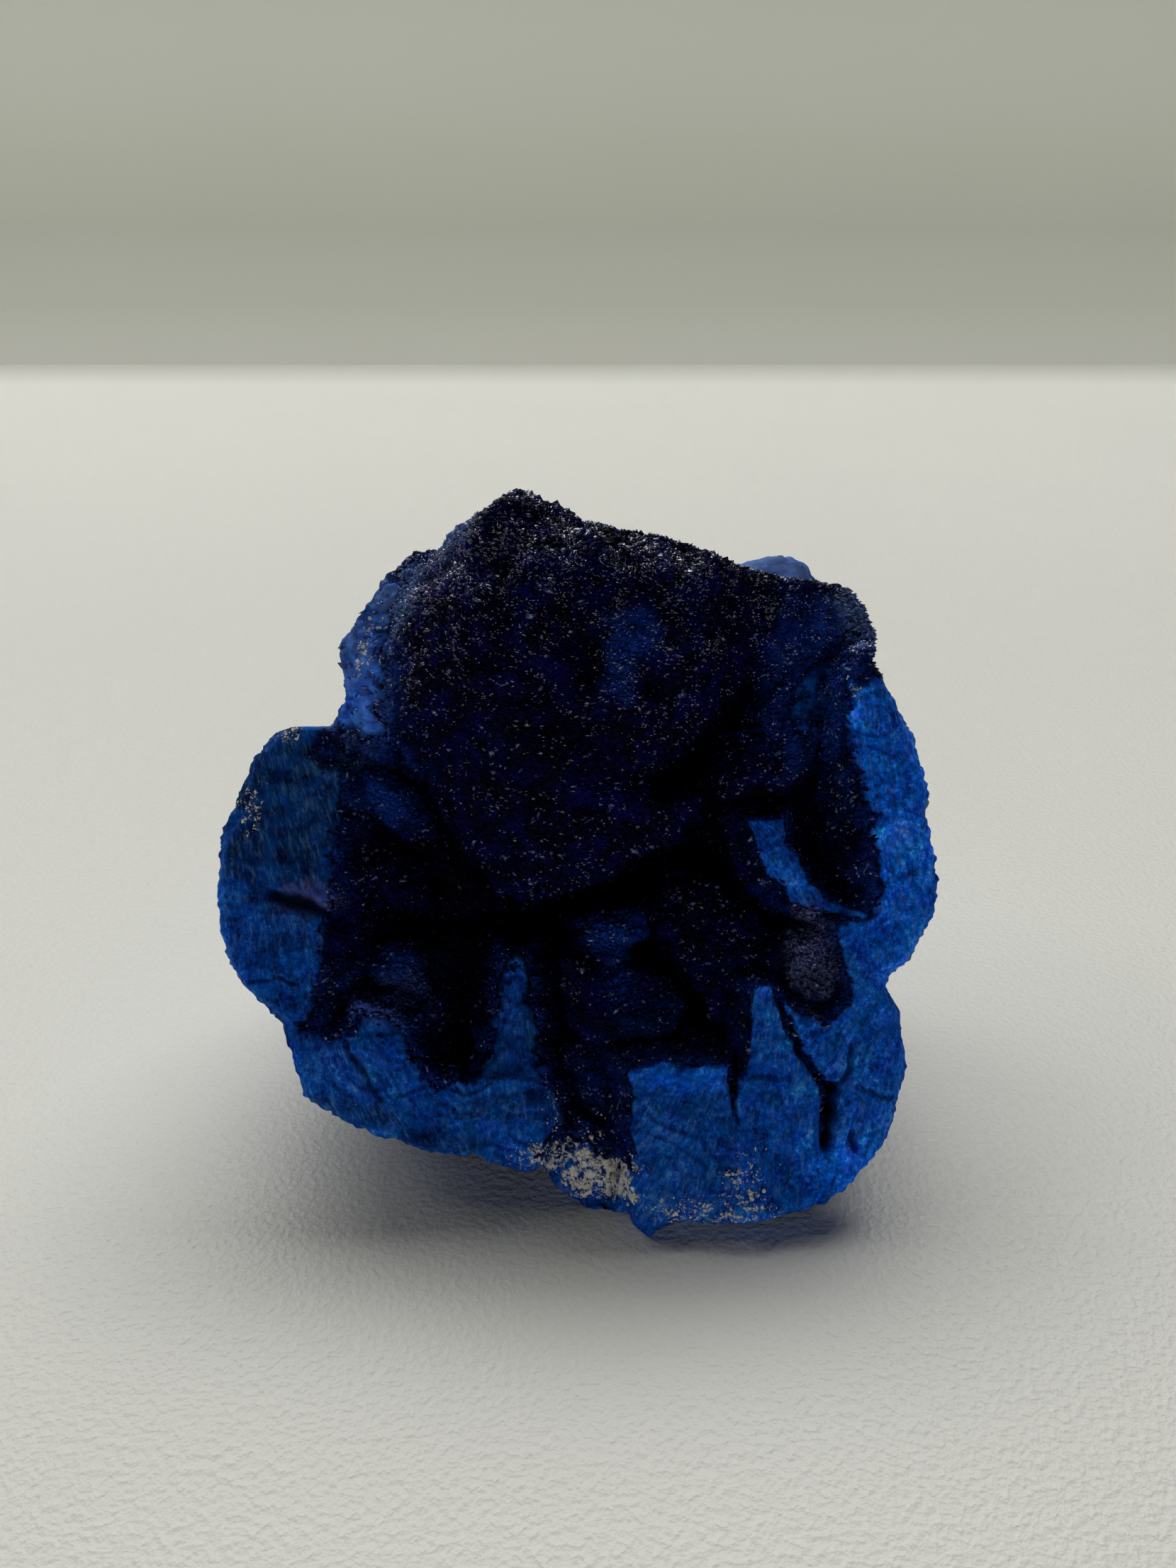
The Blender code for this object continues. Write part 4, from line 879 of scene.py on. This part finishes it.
def weathered_azurite(colours):
    """Azurite skin, weathered: dull dark blue lumps, grey-violet bloom and clay in hollows."""
    material, add, in_mm = new_material("azurite weathered skin")
    grains = add("TexNoise", (in_mm, 0.0, 1.0 / 0.42, 5.0, 0.65))
    swells = add("TexNoise", (in_mm, 0.0, 1.0 / 1.7, 4.0, 0.55))
    clouds = add("TexNoise", (in_mm, 0.0, 1.0 / 6.0, 3.0, 0.55))
    low_swells = add("Math", (swells, 0.5), TIMES)
    pattern = add("Math", (grains, 0.5, low_swells), SUM)
    colour = add("ValToRGB", (pattern,), {"ramp": [
        (0.34, colours.vein), (0.50, colours.skin), (0.60, colours.broken),
        (0.74, colours.bloom)]})
    for share, over in (
            (add("MapRange", (clouds, 0.38, 0.6, 0.08, 0.6)), colours.bloom),
            (add("MapRange", (grains, 0.60, 0.70, 0.0, 0.5)), colours.fleck)):
        colour = add("Mix", {0: share, 6: colour, 7: over}, LAYER, 2)
    colour, _ = clay_over(add, colour, in_mm, colours.clay)
    relief = add("Math", (grains, 0.7, low_swells), SUM)
    return finish_surface(material, add, colour, add("MapRange", (grains, 0.3, 0.7, 0.95, 0.75)),
                          1.55, 0.08, (relief, 0.8, 0.0002))


def drusy_azurite(colours, name, roughness, gloss):
    """Azurite, grown as a druse of small blades: near-black navy with glassy facets."""
    material, add, in_mm = new_material(name)
    tint, blue, dust, bloom, shade = (
        add("Attribute", (), {"attribute_name": kind}, "Fac")
        for kind in ("tint", "blue", "dust", "bloom", "shade"))
    grains = add("TexNoise", (in_mm, 0.0, 1.0 / 0.25, 3.0, 0.55))
    mottle = add("MapRange", (add("TexNoise", (in_mm, 0.0, 1.0 / 1.9, 5.0, 0.7)), 0.47, 0.64))
    clear = add("Math", (tint, 0.35, add("Math", (mottle, 0.9), TIMES)), SUM)
    colour = colours.druse
    # The last layer is painted shade: near-black where the face folds in or lies deep
    for share, over in (
            (add("MapRange", (clear, 0.0, 1.0)), colours.druse_light),
            (add("Math", (blue, 0.8), TIMES), colours.patch),
            (add("Math", (dust, add("MapRange", (grains, 0.35, 0.6))), TIMES), colours.dust),
            (add("Math", (bloom, add("MapRange", (grains, 0.3, 0.6))), TIMES), colours.bloom),
            (add("Math", (shade, 0.92), TIMES), colours.depths)):
        colour = add("Mix", {0: share, 6: colour, 7: over}, LAYER, 2)
    shader = material.node_tree.nodes["Principled BSDF"]
    shader.inputs["Specular Tint"].default_value = linear("#E4EAFF")
    roughness = add("MapRange", (grains, 0.3, 0.7, roughness, roughness + 0.2))
    return finish_surface(material, add, colour, roughness, 1.75, gloss)


def pale_clay(colours):
    """Kaolin clay, dried in crumbs: chalky cream with grey in its hollows."""
    material, add, in_mm = new_material("kaolin clay crumbs")
    tint = add("Attribute", (), {"attribute_name": "tint"}, "Fac")
    grains = add("TexNoise", (in_mm, 0.0, 1.0 / 0.2, 3.0, 0.55))
    colour = "#8C887E"
    for share, over in ((grains, colours.clay),
                        (add("MapRange", (tint, 0.0, 1.0, 0.0, 0.6)), "#E8E3D5")):
        colour = add("Mix", {0: share, 6: colour, 7: over}, LAYER, 2)
    return finish_surface(material, add, colour, add("MapRange", (grains, 0.3, 0.7, 0.98, 0.85)),
                          relief=(grains, 0.6, 0.00006))


def desk_laminate(sizes):
    """Melamine laminate, pressed with a fine pebble grain: pale warm grey, satin."""
    material, add, in_mm = new_material("melamine laminate desk")
    pebbles = add("TexNoise", (in_mm, 0.0, 0.001 / sizes.desk_grain, 2.0, 0.5))
    clouds = add("TexNoise", (in_mm, 0.0, 1.0 / 60.0, 2.0, 0.55))
    back = add("SeparateXYZ", (in_mm,), output="Y")
    edge = sizes.desk_edge * 1000.0
    colour = "#DADBD6"
    # Darker towards the far edge, over the last 150 mm and in a dark band over the last 44 mm:
    # painted shade
    for share, over in (
            (clouds, "#E0E0DB"),
            (add("MapRange", (pebbles, 0.4, 0.6, 0.0, 0.25)), "#D2D3CC"),
            (add("MapRange", (back, edge - 150.0, edge, 0.0, 0.15)), "#B4B5AB"),
            (add("MapRange", (back, edge - 44.0, edge, 0.0, 0.60)), "#83847B")):
        colour = add("Mix", {0: share, 6: colour, 7: over}, LAYER, 2)
    return finish_surface(material, add, colour, add("MapRange", (pebbles, 0.3, 0.7, 0.52, 0.4)),
                          relief=(pebbles, 0.8, 0.00011))


def painted_wall():
    """Emulsion paint on plaster, rolled: matt grey-green with faint unevenness."""
    material, add, in_mm = new_material("emulsion painted wall")
    height = add("SeparateXYZ", (in_mm,), output="Z")
    # Lighter and darker bands by height, lightest low down by the desk: painted light and shade, as
    # the wall is lit
    painted_light_bands = add("ValToRGB", (add("MapRange", (height, -50.0, 150.0)),), {"ramp": [
        (0.10, "#D8D9CF"), (0.24, "#BEC0B4"), (0.42, "#A8AB9E"), (0.58, "#A9AC9F"),
        (0.90, "#B6B8AE")]})
    clouds = add("TexNoise", (in_mm, 0.0, 1.0 / 150.0, 2.0, 0.55))
    share = add("Math", (clouds, 0.2), TIMES)
    colour = add("Mix", {0: share, 6: painted_light_bands, 7: "#C2C4B6"}, LAYER, 2)
    return finish_surface(material, add, colour, 0.9)


def mark_face(mesh, places, behind):
    """Mark a mesh with what the face shows at its points, less where the skin is."""
    face = broken_face()
    x, y, z = places.T
    for name in ("cover", "crack", "shade", "blue", "violet", "bloom", "clay"):
        mark(mesh, name, face.read(name, x, z) * (1.0 - behind))
    tone = face.read("tone", x, z)
    mark(mesh, "tone", np.stack([tone, tone, tone], axis=-1))
    mark(mesh, "fibre", np.stack([face.read("across", x, z) / FIBRE_WIDTH,
                                  face.read("along", x, z) / FIBRE_LENGTH, y], axis=-1))


def ball_mesh(subdivisions):
    """A unit ball of even triangles."""
    mesh = bpy.data.meshes.new("ball")
    bm = bmesh.new()
    bmesh.ops.create_icosphere(bm, subdivisions=subdivisions, radius=1.0)
    bm.to_mesh(mesh)
    bm.free()
    return mesh


def corners_of(mesh):
    """The three points of each triangle, by number."""
    corners = np.empty(len(mesh.polygons) * 3, dtype=np.int32)
    mesh.polygons.foreach_get("vertices", corners)
    return corners.reshape(-1, 3)


def thinned_out(mesh, spare):
    """The mesh with fewer triangles, thinned most where its points are spare."""
    body = put_in_scene("nodule", mesh)
    group = body.vertex_groups.new(name="coarse")
    for level in range(1, 11):
        chosen = np.flatnonzero(np.ceil(spare * 10.0) == level)
        if len(chosen):
            group.add(chosen.tolist(), level / 10.0, "REPLACE")
    thin = body.modifiers.new("Thin out", "DECIMATE")
    thin.ratio = BODY_TRIANGLES / len(mesh.polygons)
    thin.vertex_group = "coarse"
    evaluated = body.evaluated_get(bpy.context.evaluated_depsgraph_get())
    thinned = bpy.data.meshes.new_from_object(evaluated)
    bpy.data.objects.remove(body)
    return thinned


def behind_face(places):
    """Where the weathered skin lies: 0 on the broken face and 1 behind it."""
    face = broken_face()
    x, y, z = places.T
    radius, edge_depth = rim_at(np.arctan2(z, x))
    depth = face.read("depth", x, z)
    outward = np.hypot(x, z) / radius
    past_edge = np.clip(y - np.minimum(depth, edge_depth) - 0.8, 0.0, 1.0)
    past_face = np.clip(y - depth - 2.0, 0.0, 1.0)
    behind = np.maximum(past_edge * smooth_step(outward, 0.86, 0.95),
                        past_face * smooth_step(outward, 0.62, 0.72))
    return np.maximum(behind, smooth_step(y, 11.5, 12.5))


def skin_clay(places, behind):
    """Clay marked on the face, and clay left in the hollows of the skin."""
    low = np.clip(-1.6 * lumps(places, 6.0, 1.0), 0.0, 1.0)
    patchy = np.clip(1.8 * lumps(places, 4.2, 41.0), 0.0, 1.0)
    on_face = broken_face().read("clay", places[:, 0], places[:, 2]) * (1.0 - behind)
    return np.maximum(on_face, 0.8 * low * patchy * behind).astype(np.float32)


def build_body(colours):
    """The broken nodule: plates, walls of the hollow and weathered skin in one closed mesh."""
    mesh = ball_mesh(8)
    directions = places_of(mesh)
    directions /= np.linalg.norm(directions, axis=1)[:, None]
    points = nodule_points(directions)
    standing = settle(lean(points), points[:, 1] - 1.0)
    mesh.vertices.foreach_set("co", place_in_room(standing).astype(np.float32).ravel())

    # Triangles are spared on the skin and where crystals hide the face
    share = (1.0 + directions[:, 1]) / 2.0
    skin = np.clip((share - FACE_SHARE - 0.03) * 60.0, 0.0, 1.0)
    hidden = smooth_step(broken_face().read("outside", points[:, 0], points[:, 2]), 0.5, 1.2)
    hidden *= np.where(share < FACE_SHARE * 0.9, 1.0, 0.0)
    thinned = thinned_out(mesh, np.maximum(0.6 * skin, hidden))
    thinned.name = "azurite_body"

    places = lean(places_of(thinned) * 1000.0 - np.array(FACE_CENTRE), -LEAN_DEGREES)
    behind = behind_face(places)
    mark_face(thinned, places, behind)
    thinned.attributes["clay"].data.foreach_set("value", skin_clay(places, behind))
    is_skin = behind[corners_of(thinned)].mean(axis=1) > 0.5
    thinned.materials.clear()   # this also clears each triangle's number, so it comes first
    thinned.polygons.foreach_set("material_index", is_skin.astype(np.int32))
    thinned.polygons.foreach_set("use_smooth", np.ones(len(is_skin), dtype=bool))
    materials = (shared("broken", broken_azurite, colours),
                 shared("weathered", weathered_azurite, colours))
    finish_piece("azurite_body", thinned, materials, "azurite_wall")


def build_crust_ground(colours):
    """The ground that the crystals stand on: a thin layer of dark lumpy crust over the hollow."""
    face = broken_face()
    side = face.side[::LAYER_STEP]
    x, z = np.meshgrid(side, side, indexing="ij")
    cover = face.layers["cover"][::LAYER_STEP, ::LAYER_STEP]
    front, inward = face_depth(x, z)
    cover = np.where(inward > 0.3, cover, 0.0)
    cell = np.minimum(np.minimum(cover[:-1, :-1], cover[1:, :-1]),
                      np.minimum(cover[:-1, 1:], cover[1:, 1:])) > LAYER_COVER
    cell = largest_patch(cell)
    used = np.zeros(x.shape, dtype=bool)
    for i in (0, 1):
        for j in (0, 1):
            used[i:i + cell.shape[0], j:j + cell.shape[1]] |= cell
    count = int(used.sum())
    number = np.full(x.shape, -1)
    number[used] = np.arange(count)
    near = np.stack([x[used], front[used], z[used]], axis=-1)
    far = near + np.array([0.0, LAYER_THICKNESS, 0.0])
    a, b = number[:-1, :-1][cell], number[1:, :-1][cell]
    c, d = number[1:, 1:][cell], number[:-1, 1:][cell]
    front_faces = np.stack([a, b, c, d], axis=-1)
    back_faces = front_faces[:, ::-1] + count

    # A wall of faces joins the front to the back where the layer ends
    edges = np.concatenate([np.stack([front_faces[:, k], front_faces[:, (k + 1) % 4]], axis=-1)
                            for k in range(4)])
    keys = np.minimum(edges[:, 0], edges[:, 1]) * count + np.maximum(edges[:, 0], edges[:, 1])
    _, first, times = np.unique(keys, return_index=True, return_counts=True)
    start, end = edges[first[times == 1]].T
    rim = np.stack([end, start, start + count, end + count], axis=-1)
    points = np.concatenate([near, far])
    mesh = mesh_of("crust_ground", place_in_room(lean(points)),
                   np.concatenate([front_faces, back_faces, rim]))
    mark(mesh, "tint", np.clip(0.5 + lumps(points, 0.9, 51.0), 0.0, 1.0) * 0.5)
    mark(mesh, "dust", 0.7 * face.read("violet", points[:, 0], points[:, 2]))
    # The shade mark carries the painted shade of the folds and hollows onto the crust
    for name in ("blue", "bloom", "shade"):
        mark(mesh, name, face.read(name, points[:, 0], points[:, 2]))
    material = shared("ground", drusy_azurite, colours, "azurite druse ground", 0.6, 0.05)
    finish_piece("crust_ground", mesh, [material], "crystal_crust")


def largest_patch(cell):
    """Keep the largest connected patch of cells, joined side to side."""
    left = set(map(tuple, np.argwhere(cell)))
    best = []
    while left:
        start = left.pop()
        patch = [start]
        reached = [start]
        while reached:
            i, j = reached.pop()
            for neighbour in ((i + 1, j), (i - 1, j), (i, j + 1), (i, j - 1)):
                if neighbour in left:
                    left.discard(neighbour)
                    patch.append(neighbour)
                    reached.append(neighbour)
        if len(patch) > len(best):
            best = patch
    kept = np.zeros(cell.shape, dtype=bool)
    rows, columns = np.array(best).T
    kept[rows, columns] = True
    return kept


def turned(first, second, angle):
    """Two directions turned towards each other by an angle each."""
    c = np.cos(angle)[:, None]
    s = np.sin(angle)[:, None]
    return first * c + second * s, second * c - first * s


def patch_of(patch, x, z):
    """1 where a spot lies in that patch of the druse, by height and by mound."""
    dome = np.full(x.shape, np.inf)
    other = np.full(x.shape, np.inf)
    for name, mound in MOUNDS.items():
        distance = edge_distance(mound["outline"], x, z)
        if name in ("dome", "lip"):
            dome = np.minimum(dome, distance)
        else:
            other = np.minimum(other, distance)
    upper = z > UPPER_DOME
    lower = ~upper & (dome < 0.4)
    mounds = ~upper & ~lower & (other < 0.1)
    patches = {"upper_dome": upper, "lower_dome": lower, "mounds": mounds,
               "hollow": ~(upper | lower | mounds)}
    return patches[patch].astype(float)


def crystal_spots(face, rng, patch):
    """Spread spots over the crust, evenly over its real area, thinner where it feathers out."""
    side = np.arange(-23.0, 25.0, CRYSTAL_SPACING)
    x, z = np.meshgrid(side, side, indexing="ij")
    x = (x + rng.uniform(0.0, CRYSTAL_SPACING, x.shape)).ravel()
    z = (z + rng.uniform(0.0, CRYSTAL_SPACING, z.shape)).ravel()
    area = np.sqrt(1.0 + face.read("slope_x", x, z) ** 2 + face.read("slope_z", x, z) ** 2)
    weight = np.minimum(area, STEEPEST) * face.read("cover", x, z) ** 1.5 * patch_of(patch, x, z)
    weight = weight * (face_depth(x, z)[1] > 0.1) * (1.0 - 0.6 * face.read("shade", x, z))
    chance = weight * CRYSTAL_DENSITY * CRYSTAL_SPACING ** 2
    chosen = rng.uniform(0.0, 1.0, x.shape) < chance
    return x[chosen], z[chosen]


def build_crystals(name, colours, sizes, patch, level_share, seed):
    """A patch of the druse: thousands of small closed blades, each with its own facets."""
    face = broken_face()
    rng = np.random.default_rng(seed)
    x, z = crystal_spots(face, rng, patch)
    count = len(x)
    y, _ = face_depth(x, z)
    places = np.stack([x, y, z], axis=-1)

    # Which way each blade stands, is high and runs
    outward = np.stack([face.read("slope_x", x, z), -np.ones(count), face.read("slope_z", x, z)],
                       axis=-1)
    outward /= np.linalg.norm(outward, axis=1)[:, None]
    up = np.array([0.0, 0.0, 1.0]) - outward * outward[:, 2:3]
    up /= np.linalg.norm(up, axis=1)[:, None]
    length_way = np.cross(up, outward)
    spread = np.where(rng.uniform(0.0, 1.0, count) < level_share, 0.35, 1.3)
    drift = 0.8 * lumps(places, 2.2, 61.0)
    length_way, up = turned(length_way, up, drift + rng.normal(0.0, 1.0, count) * spread)
    outward, up = turned(outward, up, rng.normal(0.12, 0.38, count))
    length_way, outward = turned(length_way, outward, rng.normal(0.0, 0.28, count))

    # Its size, its ring of four corners and the tips of its two faces
    size = rng.lognormal(0.0, 0.28, count)
    half_length = sizes.crystal_length * 500.0 * size
    half_height = sizes.crystal_height * 500.0 * size * rng.uniform(0.8, 1.25, count)
    half_width = sizes.crystal_width * 500.0 * size * rng.uniform(0.7, 1.3, count)
    outline = np.array(BLADE_OUTLINE)[None, :, :] * rng.uniform(0.65, 1.35, (count, 4, 2))
    rooted = places + outward * (0.15 * half_height)[:, None]
    ring = (rooted[:, None, :]
            + outline[:, :, 0:1] * (length_way * half_length[:, None])[:, None, :]
            + outline[:, :, 1:2] * (outward * half_height[:, None])[:, None, :])
    bulge = up * half_width[:, None]
    off = length_way * (half_length * rng.uniform(-0.3, 0.3, count))[:, None]
    tips = np.stack([rooted + bulge + off, rooted - bulge + off], axis=1)
    points = np.concatenate([ring, tips], axis=1).reshape(-1, 3)
    first = BLADE_CORNERS * np.arange(count)[:, None, None]
    faces = (np.array(BLADE_FACES)[None, :, :] + first).reshape(-1, 3)
    mesh = mesh_of(name, place_in_room(lean(points)), faces)

    # Pale specks low on the stone, partly a dusty coating and partly painted glints where few
    # blades face the light; clean glassy blades towards its top
    mark(mesh, "tint", np.repeat(rng.uniform(0.0, 1.0, count) ** 2.0, BLADE_CORNERS))
    height = smooth_step(z, -4.0, 20.0)
    shine = face.read("shine", x, z)
    pale = (rng.uniform(0.0, 1.0, count) < DUST_AND_GLINT_SHARE * (1.0 - height) * shine) * 0.8
    # Each crystal takes the face's marks: shade carries painted shade, and the violet dusty mark
    # also takes the pale specks, painted glints
    for kind, source in (("blue", "blue"), ("dust", "violet"), ("bloom", "bloom"),
                         ("shade", "shade")):
        amount = face.read(source, x, z) * rng.uniform(0.4, 1.0, count)
        if kind == "dust":
            amount = np.maximum(amount, pale)
        mark(mesh, kind, np.repeat(amount, BLADE_CORNERS))
    shine = shine * (1.0 - face.read("shade", x, z))
    clean = rng.uniform(0.0, 1.0, count) < (0.10 + 0.90 * height ** 3) * shine
    is_clean = np.repeat(clean, len(BLADE_FACES))
    mesh.polygons.foreach_set("material_index", is_clean.astype(np.int32))
    materials = (shared("dull", drusy_azurite, colours, "azurite druse frosted", 0.5, 0.04),
                 shared("glassy", drusy_azurite, colours, "azurite druse glassy", 0.17, 1.0))
    finish_piece(name, mesh, materials, "crystal_crust")


def build_clay(colours, sizes):
    """Crumbs of clay caught on the broken edges."""
    face = broken_face()
    rng = np.random.default_rng(71)
    ball_data = ball_mesh(1)
    ball = places_of(ball_data)
    ball_faces = corners_of(ball_data)
    bpy.data.meshes.remove(ball_data)
    x = rng.uniform(-22.0, 22.0, CLAY_CANDIDATES)
    z = rng.uniform(-22.0, 24.0, CLAY_CANDIDATES)
    y, inward = face_depth(x, z)
    flat = np.stack([x, 0.0 * x, z], axis=-1)
    veins = np.abs(lumps(flat, 0.9, 73.0))
    crumbly = smooth_step(lumps(flat, 0.55, 72.0), -0.2, 0.4) * smooth_step(veins, 0.42, 0.08)
    chance = face.read("clay", x, z) ** 1.2 * crumbly
    chosen = (inward > 0.2) & (rng.uniform(0.0, 1.0, CLAY_CANDIDATES) < chance)
    places = np.stack([x[chosen], y[chosen], z[chosen]], axis=-1)
    count = len(places)
    size = sizes.clay_crumb * 500.0 * rng.lognormal(0.0, 0.35, count)
    stretch = rng.uniform(0.6, 1.4, (count, 3))
    rough = rng.uniform(0.75, 1.25, (count, len(ball)))
    crumbs = ball[None, :, :] * rough[:, :, None] * (size[:, None] * stretch)[:, None, :]
    points = (places[:, None, :] + crumbs).reshape(-1, 3)
    faces = ball_faces[None, :, :] + len(ball) * np.arange(count)[:, None, None]
    mesh = mesh_of("clay_crumbs", place_in_room(lean(points)), faces.reshape(-1, 3))
    mark(mesh, "tint", np.repeat(rng.uniform(0.0, 1.0, count), len(ball)))
    material = shared("clay", pale_clay, colours)
    finish_piece("clay_crumbs", mesh, [material], "azurite_wall")


def area_light(name, place, target, size, power, colour, spread):
    """A soft lamp that looks from its place to its target."""
    light = bpy.data.lights.new(name, "AREA")
    light.shape = "RECTANGLE"
    light.size, light.size_y = size
    light.energy = power
    light.color = linear(colour)[:3]
    light.spread = math.radians(spread)
    lamp = put_in_scene(name, light)
    lamp.location = place
    lamp.rotation_euler = (Vector(target) - Vector(place)).to_track_quat("-Z", "Y").to_euler()


def slab(name, low, high, material):
    """A flat sheet of the surroundings, from one corner to the other."""
    (x0, y0, z0), (x1, y1, z1) = low, high
    points = np.array([(x0, y0, z0), (x1, y0, z0), (x1, y1, z1), (x0, y1, z1)])
    mesh = mesh_of(name, points, np.array([[0, 1, 2, 3]]))
    mesh.materials.append(material)
    put_in_scene(name, mesh)


def build_stage(sizes):
    """The desk, the wall behind it, soft light from above and behind, and the camera."""
    scene = bpy.context.scene
    edge = sizes.desk_edge
    wall = edge + WALL_GAP
    slab("desk_top", (-1.2, -0.6, 0.0), (1.2, edge, 0.0), shared("desk", desk_laminate, sizes))
    slab("room_wall", (-2.5, wall, -0.6), (2.5, wall, 0.35), shared("wall_paint", painted_wall))

    camera = bpy.data.cameras.new("camera")
    camera.sensor_width = 36.0
    camera.lens = CAMERA_LENS
    camera.clip_start = 0.001
    view = put_in_scene("camera", camera)
    rise = math.radians(CAMERA_RISE)
    view.location = Vector(FACE_CENTRE) * 0.001 + Vector((
        CAMERA_SIDE, -sizes.camera_distance * math.cos(rise),
        sizes.camera_distance * math.sin(rise)))
    view.rotation_euler = (math.radians(CAMERA_TILT), 0.0, 0.0)
    scene.camera = view

    for lamp in LAMPS:
        area_light(*lamp)
    world = bpy.data.worlds.new("room")
    world.use_nodes = True
    background = world.node_tree.nodes["Background"]
    background.inputs["Color"].default_value = linear("#C9CCCB")
    background.inputs["Strength"].default_value = 0.01
    scene.world = world
    scene.view_settings.view_transform = "Standard"


def size_setting(name, description, metres, least, most):
    """A size that can be changed."""
    return bpy.props.FloatProperty(name=name, description=description, default=metres, min=least,
                                   max=most, precision=5, unit="LENGTH")


class AzuriteSizes(bpy.types.PropertyGroup):
    """Sizes that a maker would change."""
    crystal_length: size_setting("Crystal length", "Typical length of a blade of the druse",
                                 0.00036, 0.0001, 0.002)
    crystal_height: size_setting("Crystal height",
                                 "How far a typical blade stands up, root included",
                                 0.00029, 0.0001, 0.002)
    crystal_width: size_setting("Crystal thickness", "Typical thickness of a blade",
                                0.00015, 0.00005, 0.001)
    clay_crumb: size_setting("Clay crumb", "Typical width of a crumb of clay",
                             0.0001, 0.00005, 0.001)
    desk_grain: size_setting("Desk grain", "Width of the pebbles pressed into the desk top",
                             0.00042, 0.0002, 0.003)
    desk_edge: size_setting("Desk edge", "How far behind the stone the desk ends", 0.347, 0.1, 1.0)
    camera_distance: size_setting("Camera distance",
                                  "From the camera to the middle of the broken face",
                                  0.0693, 0.05, 1.0)


def colour_setting(name, description, hex_colour):
    """A colour that can be changed, from its hex value."""
    return bpy.props.FloatVectorProperty(name=name, description=description, subtype="COLOR",
                                         size=3, min=0.0, max=1.0, default=linear(hex_colour)[:3])


class AzuriteColours(bpy.types.PropertyGroup):
    """Colours that a maker would change."""
    vein: colour_setting("Vein", "Darkest grain of the broken stone", "#010D48")
    broken: colour_setting("Broken stone", "Main blue of the broken stone", "#0250B8")
    bright: colour_setting("Bright grain", "Bright grain of the broken stone", "#0E76ED")
    fleck: colour_setting("Fleck", "Palest flecks of the broken stone", "#86C4F4")
    hue_violet: colour_setting("Violet cast", "Cast of the stone's violet side", "#F0D2FF")
    hue_green: colour_setting("Green cast", "Cast of the stone's greenish side", "#90FFF0")
    violet: colour_setting("Violet dust", "Dusty violet patches", "#5A5FA4")
    skin: colour_setting("Skin", "Weathered outside of the nodule", "#0B2A66")
    bloom: colour_setting("Bloom", "Pale bloom on the weathered stone", "#6C8CCC")
    druse: colour_setting("Druse", "Darkest crystals", "#010112")
    druse_light: colour_setting("Bright druse", "Clearest blue of the crystals", "#080858")
    # Depths is painted shade: the near-black laid over the stone and the crystals where the face
    # folds in or lies deep
    depths: colour_setting("Depths", "Crystals deep in the folds", "#000003")
    patch: colour_setting("Blue patch", "Blue patches among the crystals", "#1646AC")
    # The grey-violet of dusty patches on the crystals, also given to the pale specks that are
    # painted glints
    dust: colour_setting("Dust", "Grey-violet dust on crystals", "#7680B4")
    clay: colour_setting("Clay", "Dry clay in the breaks", "#FFFCF0")


class AZURITE_OT_body(bpy.types.Operator):
    """Build the broken nodule with its plates and its weathered skin"""
    bl_idname = "azurite.body"
    bl_label = "Nodule body"

    def execute(self, context):
        build_body(context.scene.azurite_colours)
        return {"FINISHED"}


class AZURITE_OT_crust(bpy.types.Operator):
    """Build the dark ground under the crystals"""
    bl_idname = "azurite.crust_ground"
    bl_label = "Crust ground"

    def execute(self, context):
        build_crust_ground(context.scene.azurite_colours)
        return {"FINISHED"}


class AZURITE_OT_crystals(bpy.types.Operator):
    """Grow the small blades of the druse over the crust"""
    bl_idname = "azurite.crystals"
    bl_label = "Druse crystals"

    def execute(self, context):
        scene = context.scene
        for name, *patch in CRYSTAL_PATCHES:
            build_crystals(name, scene.azurite_colours, scene.azurite_sizes, *patch)
        return {"FINISHED"}


class AZURITE_OT_clay(bpy.types.Operator):
    """Scatter the crumbs of clay on the broken edges"""
    bl_idname = "azurite.clay"
    bl_label = "Clay crumbs"

    def execute(self, context):
        build_clay(context.scene.azurite_colours, context.scene.azurite_sizes)
        return {"FINISHED"}


class AZURITE_OT_stage(bpy.types.Operator):
    """Set the desk, the wall behind it, the lights and the camera"""
    bl_idname = "azurite.stage"
    bl_label = "Stage"

    def execute(self, context):
        build_stage(context.scene.azurite_sizes)
        return {"FINISHED"}


class AZURITE_PT_specimen(bpy.types.Panel):
    """Sizes and buttons for the azurite specimen"""
    bl_label = "Azurite specimen"
    bl_space_type = "VIEW_3D"
    bl_region_type = "UI"
    bl_category = "Azurite"

    def draw(self, context):
        sizes = context.scene.azurite_sizes
        for name in AzuriteSizes.__annotations__:
            self.layout.prop(sizes, name)
        for name in AzuriteColours.__annotations__:
            self.layout.prop(context.scene.azurite_colours, name)
        for operator in OPERATORS:
            self.layout.operator(operator.bl_idname)


OPERATORS = (AZURITE_OT_body, AZURITE_OT_crust, AZURITE_OT_crystals, AZURITE_OT_clay,
             AZURITE_OT_stage)
CLASSES = (AzuriteSizes, AzuriteColours, *OPERATORS, AZURITE_PT_specimen)


def register():
    """Make the settings, the operators and the panel known."""
    for cls in CLASSES:
        bpy.utils.register_class(cls)
    bpy.types.Scene.azurite_sizes = bpy.props.PointerProperty(type=AzuriteSizes)
    bpy.types.Scene.azurite_colours = bpy.props.PointerProperty(type=AzuriteColours)


def unregister():
    """Take them out again."""
    del bpy.types.Scene.azurite_sizes
    del bpy.types.Scene.azurite_colours
    for cls in reversed(CLASSES):
        bpy.utils.unregister_class(cls)


def main():
    """Build the stage and every piece."""
    register()
    bpy.ops.azurite.stage()
    bpy.ops.azurite.body()
    bpy.ops.azurite.crust_ground()
    bpy.ops.azurite.crystals()
    bpy.ops.azurite.clay()


if __name__ == "__main__":
    main()
